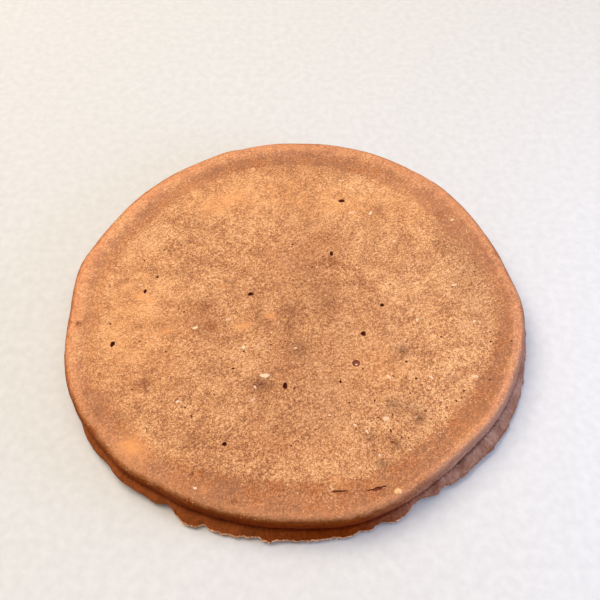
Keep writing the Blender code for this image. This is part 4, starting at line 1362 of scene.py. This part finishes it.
class PancakeColours(bpy.types.PropertyGroup):
    """Colours of the crust, the crumb, the bran and the floor."""

    face_dark: colour_property("Face dark grain", "Darkest grain of the frosted face", "8f5c40")
    face_middle: colour_property("Face middle grain", "Middle grain of the frosted face", "ca8c5b")
    face_light: colour_property("Face light grain", "Lightest grain of the frosted face", "f4c08a")
    frost: colour_property("Frost", "Pale grains scattered over the face", "f6c795")
    pit: colour_property("Pits", "Dark pits scattered over the face", "5a2410")
    # The browned and orange tints also paint shade and light where their patches are broad
    browned: colour_property("Browned tint", "Multiplies the colour where the face browned most", "d8bcae")
    orange: colour_property("Orange patch", "Colour of thinly browned patches", "eea264")
    ashen: colour_property("Ashen tint", "Multiplies the colour of dull patches", "b2aab2")
    ring: colour_property("Ring", "Smooth ring inside the rim", "c5845d")
    crest: colour_property("Crest", "Top of the rolled rim", "d99366")
    # Rim tone multiplies in the rim's darker bake and the painted shade at its front and right
    rim_tone: colour_property("Rim tone", "Multiplies the colour where the rim baked darker", "d8d6d0")
    # Roll, dark roll, side and fold are darker than the batter's own colour: partly painted shade of the
    # side that faces away from the light, darkest in the fold
    roll: colour_property("Roll", "Outer part of the rolled rim", "b26a3a")
    roll_dark: colour_property("Dark roll", "Where the rolled rim turns into the side", "964a12")
    side: colour_property("Side", "Widest part of the side", "7a3004")
    fold: colour_property("Fold", "Fold above the batter lip", "641c04")
    lip: colour_property("Lip", "Batter lip", "7a3208")
    lip_dark: colour_property("Dark lip", "Batter lip just above its edge", "6c2a06")
    lip_warm: colour_property("Warm lip", "Batter lip where it ran thin", "985026")
    # These two mauve colours paint the sheen of the low cool light on the right of the side and lip, dimmer
    # in the fold
    painted_sheen: colour_property("Bloom", "Dull mauve film on the side and lip", "a0765f")
    darker_painted_sheen: colour_property("Bloom in folds", "The same film in the fold", "5c2c22")
    fringe: colour_property("Fringe", "Torn edge of the batter lip", "f0b486")
    torn: colour_property("Torn crust", "Inside of the cracks", "823e24")
    pore: colour_property("Pore", "Deep crumb in the open bubbles", "7a1c0e")
    crumb: colour_property("Crumb", "Lit crumb in the open bubbles", "84482c")
    skin: colour_property("Bubble skin", "Skin left standing round a burst bubble", "e2a474")
    skin_shade: colour_property("Bubble skin shade", "Darker part of the same skin", "b87448")
    bran: colour_property("Bran", "Pale bran husk", "f3d2ac")
    bran_toasted: colour_property("Toasted bran", "Toasted bran husk", "d08c56")
    bead: colour_property("Bead", "Half-baked batter bead", "f2bd84")
    bead_shade: colour_property("Bead shade", "Darker part of the batter bead", "dd9a60")
    floor: colour_property("Floor", "Pale board", "dcdad6")
    floor_shade: colour_property("Floor shade", "Hollows of the pale board", "d4d2ce")


class PancakeStudio(bpy.types.PropertyGroup):
    """Strengths of the soft studio lights."""

    key: bpy.props.FloatProperty(
        name="Key", description="Large soft light", unit="POWER", min=0, default=15.3
    )
    top: bpy.props.FloatProperty(
        name="Top", description="Overhead light", unit="POWER", min=0, default=3.9
    )
    cool: bpy.props.FloatProperty(
        name="Cool", description="Low window light", unit="POWER", min=0, default=0.75
    )


class ShapeSizes:
    """Sizes in millimetres for the shape functions, read from the property group."""

    def __init__(self, group):
        self.grain = group.grain / MM
        self.lumps = group.lumps / MM
        self.wrinkles = group.wrinkles / MM
        self.fray = group.fray / MM
        self.fleck = group.fleck / MM
        self.pores = group.pores


# Pieces and stage


class PANCAKE_OT_crust(bpy.types.Operator):
    """Builds the crust over the whole pancake and cuts its open bubbles, dishes and cracks."""

    bl_idname = "pancake.crust"
    bl_label = "Crust"

    def execute(self, context):
        size = ShapeSizes(context.scene.pancake_sizes)
        colours = context.scene.pancake_colours
        centre = plan_centre()
        points, way, quads, joins = crust_grid(size)
        normals = point_normals(points, quads, joins)
        points = points + normals * relief(points, way, size)[:, None]
        points[:, 2] = np.maximum(points[:, 2], 0)
        materials = [crust_material(colours), crumb_material(colours), lip_material(colours)]
        mean_way = np.concatenate([way[quads].mean(axis=1), way[joins].mean(axis=1)])
        on_lip = (mean_way > LIP_WAYS[0]) & (mean_way < LIP_WAYS[1])
        skin = np.where(on_lip, LIP_SKIN, CRUST_SKIN)
        crust = new_piece("pancake_crust", points, quads, joins, materials, centre, skin)
        store(crust.data, "way", "FLOAT", way)
        store(crust.data, "kept", "FLOAT", np.ones(len(points)))
        cut_points, cut_quads, cut_caps, skin = bubble_cutters(size)
        cutters = new_piece("cutters", cut_points, cut_quads, cut_caps, materials, centre, skin)
        cut_away(crust, cutters)
        store_colours(crust.data, centre)
        crust.data.shade_smooth()
        crust.data.set_sharp_from_angle(angle=math.radians(SHARP_TURN))
        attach(crust, "root")
        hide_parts("pancake")
        return {"FINISHED"}


class PANCAKE_OT_bran_flecks(bpy.types.Operator):
    """Scatters thin bran flecks over the face: the placed ones and many small seeded streaks."""

    bl_idname = "pancake.bran_flecks"
    bl_label = "Bran flecks"

    def execute(self, context):
        sizes = context.scene.pancake_sizes
        size = ShapeSizes(sizes)
        placed = np.array(FLECKS, float)
        rng = np.random.default_rng(61)
        taken = [p[:2] for p in FLECKS] + [b[:2] for b in BUBBLES]
        more = scattered(sizes.streaks, 62, lambda p: 0.5 + 0.5 * pore_weight(p), 1.4, taken)
        count = len(more)
        long = rng.uniform(0.45, 1.2, count)
        wide = rng.uniform(0.22, 0.42, count)
        turn = rng.normal(40, 45, count)
        pale = rng.uniform(0.15, 0.75, count)
        rows = np.concatenate([placed, np.column_stack([more, long, wide, turn, pale])])
        z = face_height(rows[:, 0], rows[:, 1], size)
        thick = size.fleck + 0.06
        centres = np.column_stack([rows[:, :2], z + size.fleck - thick])
        halves = np.column_stack([rows[:, 2] / 2, rows[:, 3] / 2, np.full(len(rows), thick)])
        points, quads, caps = blobs(centres, halves, rows[:, 4], 63, 10, 4, 0.16)
        colours = context.scene.pancake_colours
        piece = new_piece("bran_flecks", points, quads, caps, [bran_material(colours)], plan_centre())
        store(piece.data, "paleness", "FLOAT", np.repeat(rows[:, 5], len(points) // len(rows)))
        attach(piece, "root")
        return {"FINISHED"}


class PANCAKE_OT_skin_rims(bpy.types.Operator):
    """Leaves thin crescents of light skin standing round the collapsed bubbles near the rim."""

    bl_idname = "pancake.skin_rims"
    bl_label = "Bubble skin rims"

    def execute(self, context):
        size = ShapeSizes(context.scene.pancake_sizes)
        points, quads = skin_rings(SKIN_RIMS, size, 48, 8)
        material = skin_material(context.scene.pancake_colours)
        piece = new_piece("skin_rims", points, quads, np.empty((0, 3), int), [material], plan_centre())
        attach(piece, "root")
        return {"FINISHED"}


class PANCAKE_OT_batter_bead(bpy.types.Operator):
    """Sets one pale bead of half-baked batter on the front right of the ring."""

    bl_idname = "pancake.batter_bead"
    bl_label = "Batter bead"

    def execute(self, context):
        size = ShapeSizes(context.scene.pancake_sizes)
        x, y, width, depth, height = BATTER_BEAD
        z = face_height([x], [y], size)[0]
        points, quads, caps = blobs([(x, y, z)], [(width / 2, depth / 2, height)], [15.0], 71, 28, 14, 0.05)
        colours = context.scene.pancake_colours
        piece = new_piece("batter_bead", points, quads, caps, [bead_material(colours)], plan_centre())
        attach(piece, "root")
        return {"FINISHED"}


class PANCAKE_OT_lip_crumbs(bpy.types.Operator):
    """Catches small torn crumbs along the edge of the batter lip, most of them at the front."""

    bl_idname = "pancake.lip_crumbs"
    bl_label = "Lip crumbs"

    def execute(self, context):
        sizes = context.scene.pancake_sizes
        size = ShapeSizes(sizes)
        rng = np.random.default_rng(81)
        draws = rng.uniform(0, 360, 8 * sizes.crumbs)
        share = round_curve(RAGGED, draws)
        bearing = draws[rng.uniform(0, 1, len(draws)) < share][: sizes.crumbs]
        radius, height, way = edge_stations(bearing, size)
        row = int(np.argmin(np.abs(way[:, 0] - 4)))
        reach = radius[row] + rng.uniform(-0.1, 0.08, len(bearing))
        centres = np.column_stack([*plan(reach, bearing), height[row]])
        half = rng.uniform(0.12, 0.28, len(bearing))
        halves = np.column_stack([half * 1.2, half, half * 0.7])
        points, quads, caps = blobs(centres, halves, rng.uniform(0, 180, len(bearing)), 82, 8, 4, 0.2)
        colours = context.scene.pancake_colours
        piece = new_piece("lip_crumbs", points, quads, caps, [bran_material(colours)], plan_centre())
        pale = np.repeat(rng.uniform(0.1, 0.5, len(bearing)), len(points) // len(bearing))
        store(piece.data, "paleness", "FLOAT", pale)
        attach(piece, "root")
        return {"FINISHED"}


class PANCAKE_OT_stage(bpy.types.Operator):
    """Lays the pale floor and sets the soft lights, the even surroundings and the camera."""

    bl_idname = "pancake.stage"
    bl_label = "Stage"

    def execute(self, context):
        studio = context.scene.pancake_studio
        side = FLOOR_HALF_SIDE
        corners = np.array([(-side, -side, 0), (side, -side, 0), (side, side, 0), (-side, side, 0)])
        floor = new_piece(
            "floor", corners, np.array([[0, 1, 2, 3]]), np.empty((0, 3), int),
            [floor_material(context.scene.pancake_colours)], np.zeros(3)
        )

        # Soft square lights, turned towards the origin: name, power, width, colour, place in metres
        lights = (
            ("key_light", studio.key, 0.9, "fff4e6", (-0.5, 0.35, 1.05)),
            ("top_light", studio.top, 1.2, "ffffff", (0.25, -0.1, 1.3)),
            ("cool_light", studio.cool, 0.15, "a9c2ff", (0.29, -0.07, 0.08)),
        )
        for name, power, width, code, place in lights:
            data = bpy.data.lights.new(name, "AREA")
            data.energy = power
            data.size = width
            data.color = linear(code)[:3]
            light = bpy.data.objects.new(name, data)
            light.location = place
            light.visible_camera = False
            reach = math.hypot(*place[:2])
            light.rotation_euler = (math.atan2(reach, place[2]), 0, math.atan2(place[0], -place[1]))
            context.scene.collection.objects.link(light)

        world = bpy.data.worlds.new("Even surroundings")
        world.use_nodes = True
        background = world.node_tree.nodes["Background"]
        background.inputs["Color"].default_value = linear(SURROUND_COLOUR)
        background.inputs["Strength"].default_value = SURROUND_STRENGTH
        context.scene.world = world

        data = bpy.data.cameras.new("camera")
        data.lens = CAMERA_LENS
        data.sensor_width = CAMERA_SENSOR
        data.clip_start = 0.01
        camera = bpy.data.objects.new("camera", data)
        camera.location = (np.array(CAMERA_PLACE) - plan_centre()) * MM
        camera.rotation_euler = (math.radians(90 - CAMERA_PITCH_DOWN), 0, 0)
        context.scene.collection.objects.link(camera)
        context.scene.camera = camera
        context.scene.view_settings.view_transform = "Standard"
        return {"FINISHED"}


# Panel, registration and run


class PANCAKE_PT_panel(bpy.types.Panel):
    """Lists the sizes, the colours and the steps that build the pancake."""

    bl_idname = "PANCAKE_PT_panel"
    bl_label = "Chocolate Pancake"
    bl_space_type = "VIEW_3D"
    bl_region_type = "UI"
    bl_category = "Pancake"

    def draw(self, context):
        layout = self.layout
        for step in STEPS:
            layout.operator(step.bl_idname)
        scene = context.scene
        for group in (scene.pancake_sizes, scene.pancake_colours, scene.pancake_studio):
            box = layout.box()
            for name in type(group).__annotations__:
                box.prop(group, name)


STEPS = (
    PANCAKE_OT_crust,
    PANCAKE_OT_bran_flecks,
    PANCAKE_OT_skin_rims,
    PANCAKE_OT_batter_bead,
    PANCAKE_OT_lip_crumbs,
    PANCAKE_OT_stage,
)
CLASSES = (PancakeSizes, PancakeColours, PancakeStudio, *STEPS, PANCAKE_PT_panel)


def register():
    for part in CLASSES:
        bpy.utils.register_class(part)
    bpy.types.Scene.pancake_sizes = bpy.props.PointerProperty(type=PancakeSizes)
    bpy.types.Scene.pancake_colours = bpy.props.PointerProperty(type=PancakeColours)
    bpy.types.Scene.pancake_studio = bpy.props.PointerProperty(type=PancakeStudio)


def unregister():
    del bpy.types.Scene.pancake_studio
    del bpy.types.Scene.pancake_colours
    del bpy.types.Scene.pancake_sizes
    for part in reversed(CLASSES):
        bpy.utils.unregister_class(part)


def main():
    register()
    bpy.ops.pancake.crust()
    bpy.ops.pancake.bran_flecks()
    bpy.ops.pancake.skin_rims()
    bpy.ops.pancake.batter_bead()
    bpy.ops.pancake.lip_crumbs()
    bpy.ops.pancake.stage()


if __name__ == "__main__":
    main()
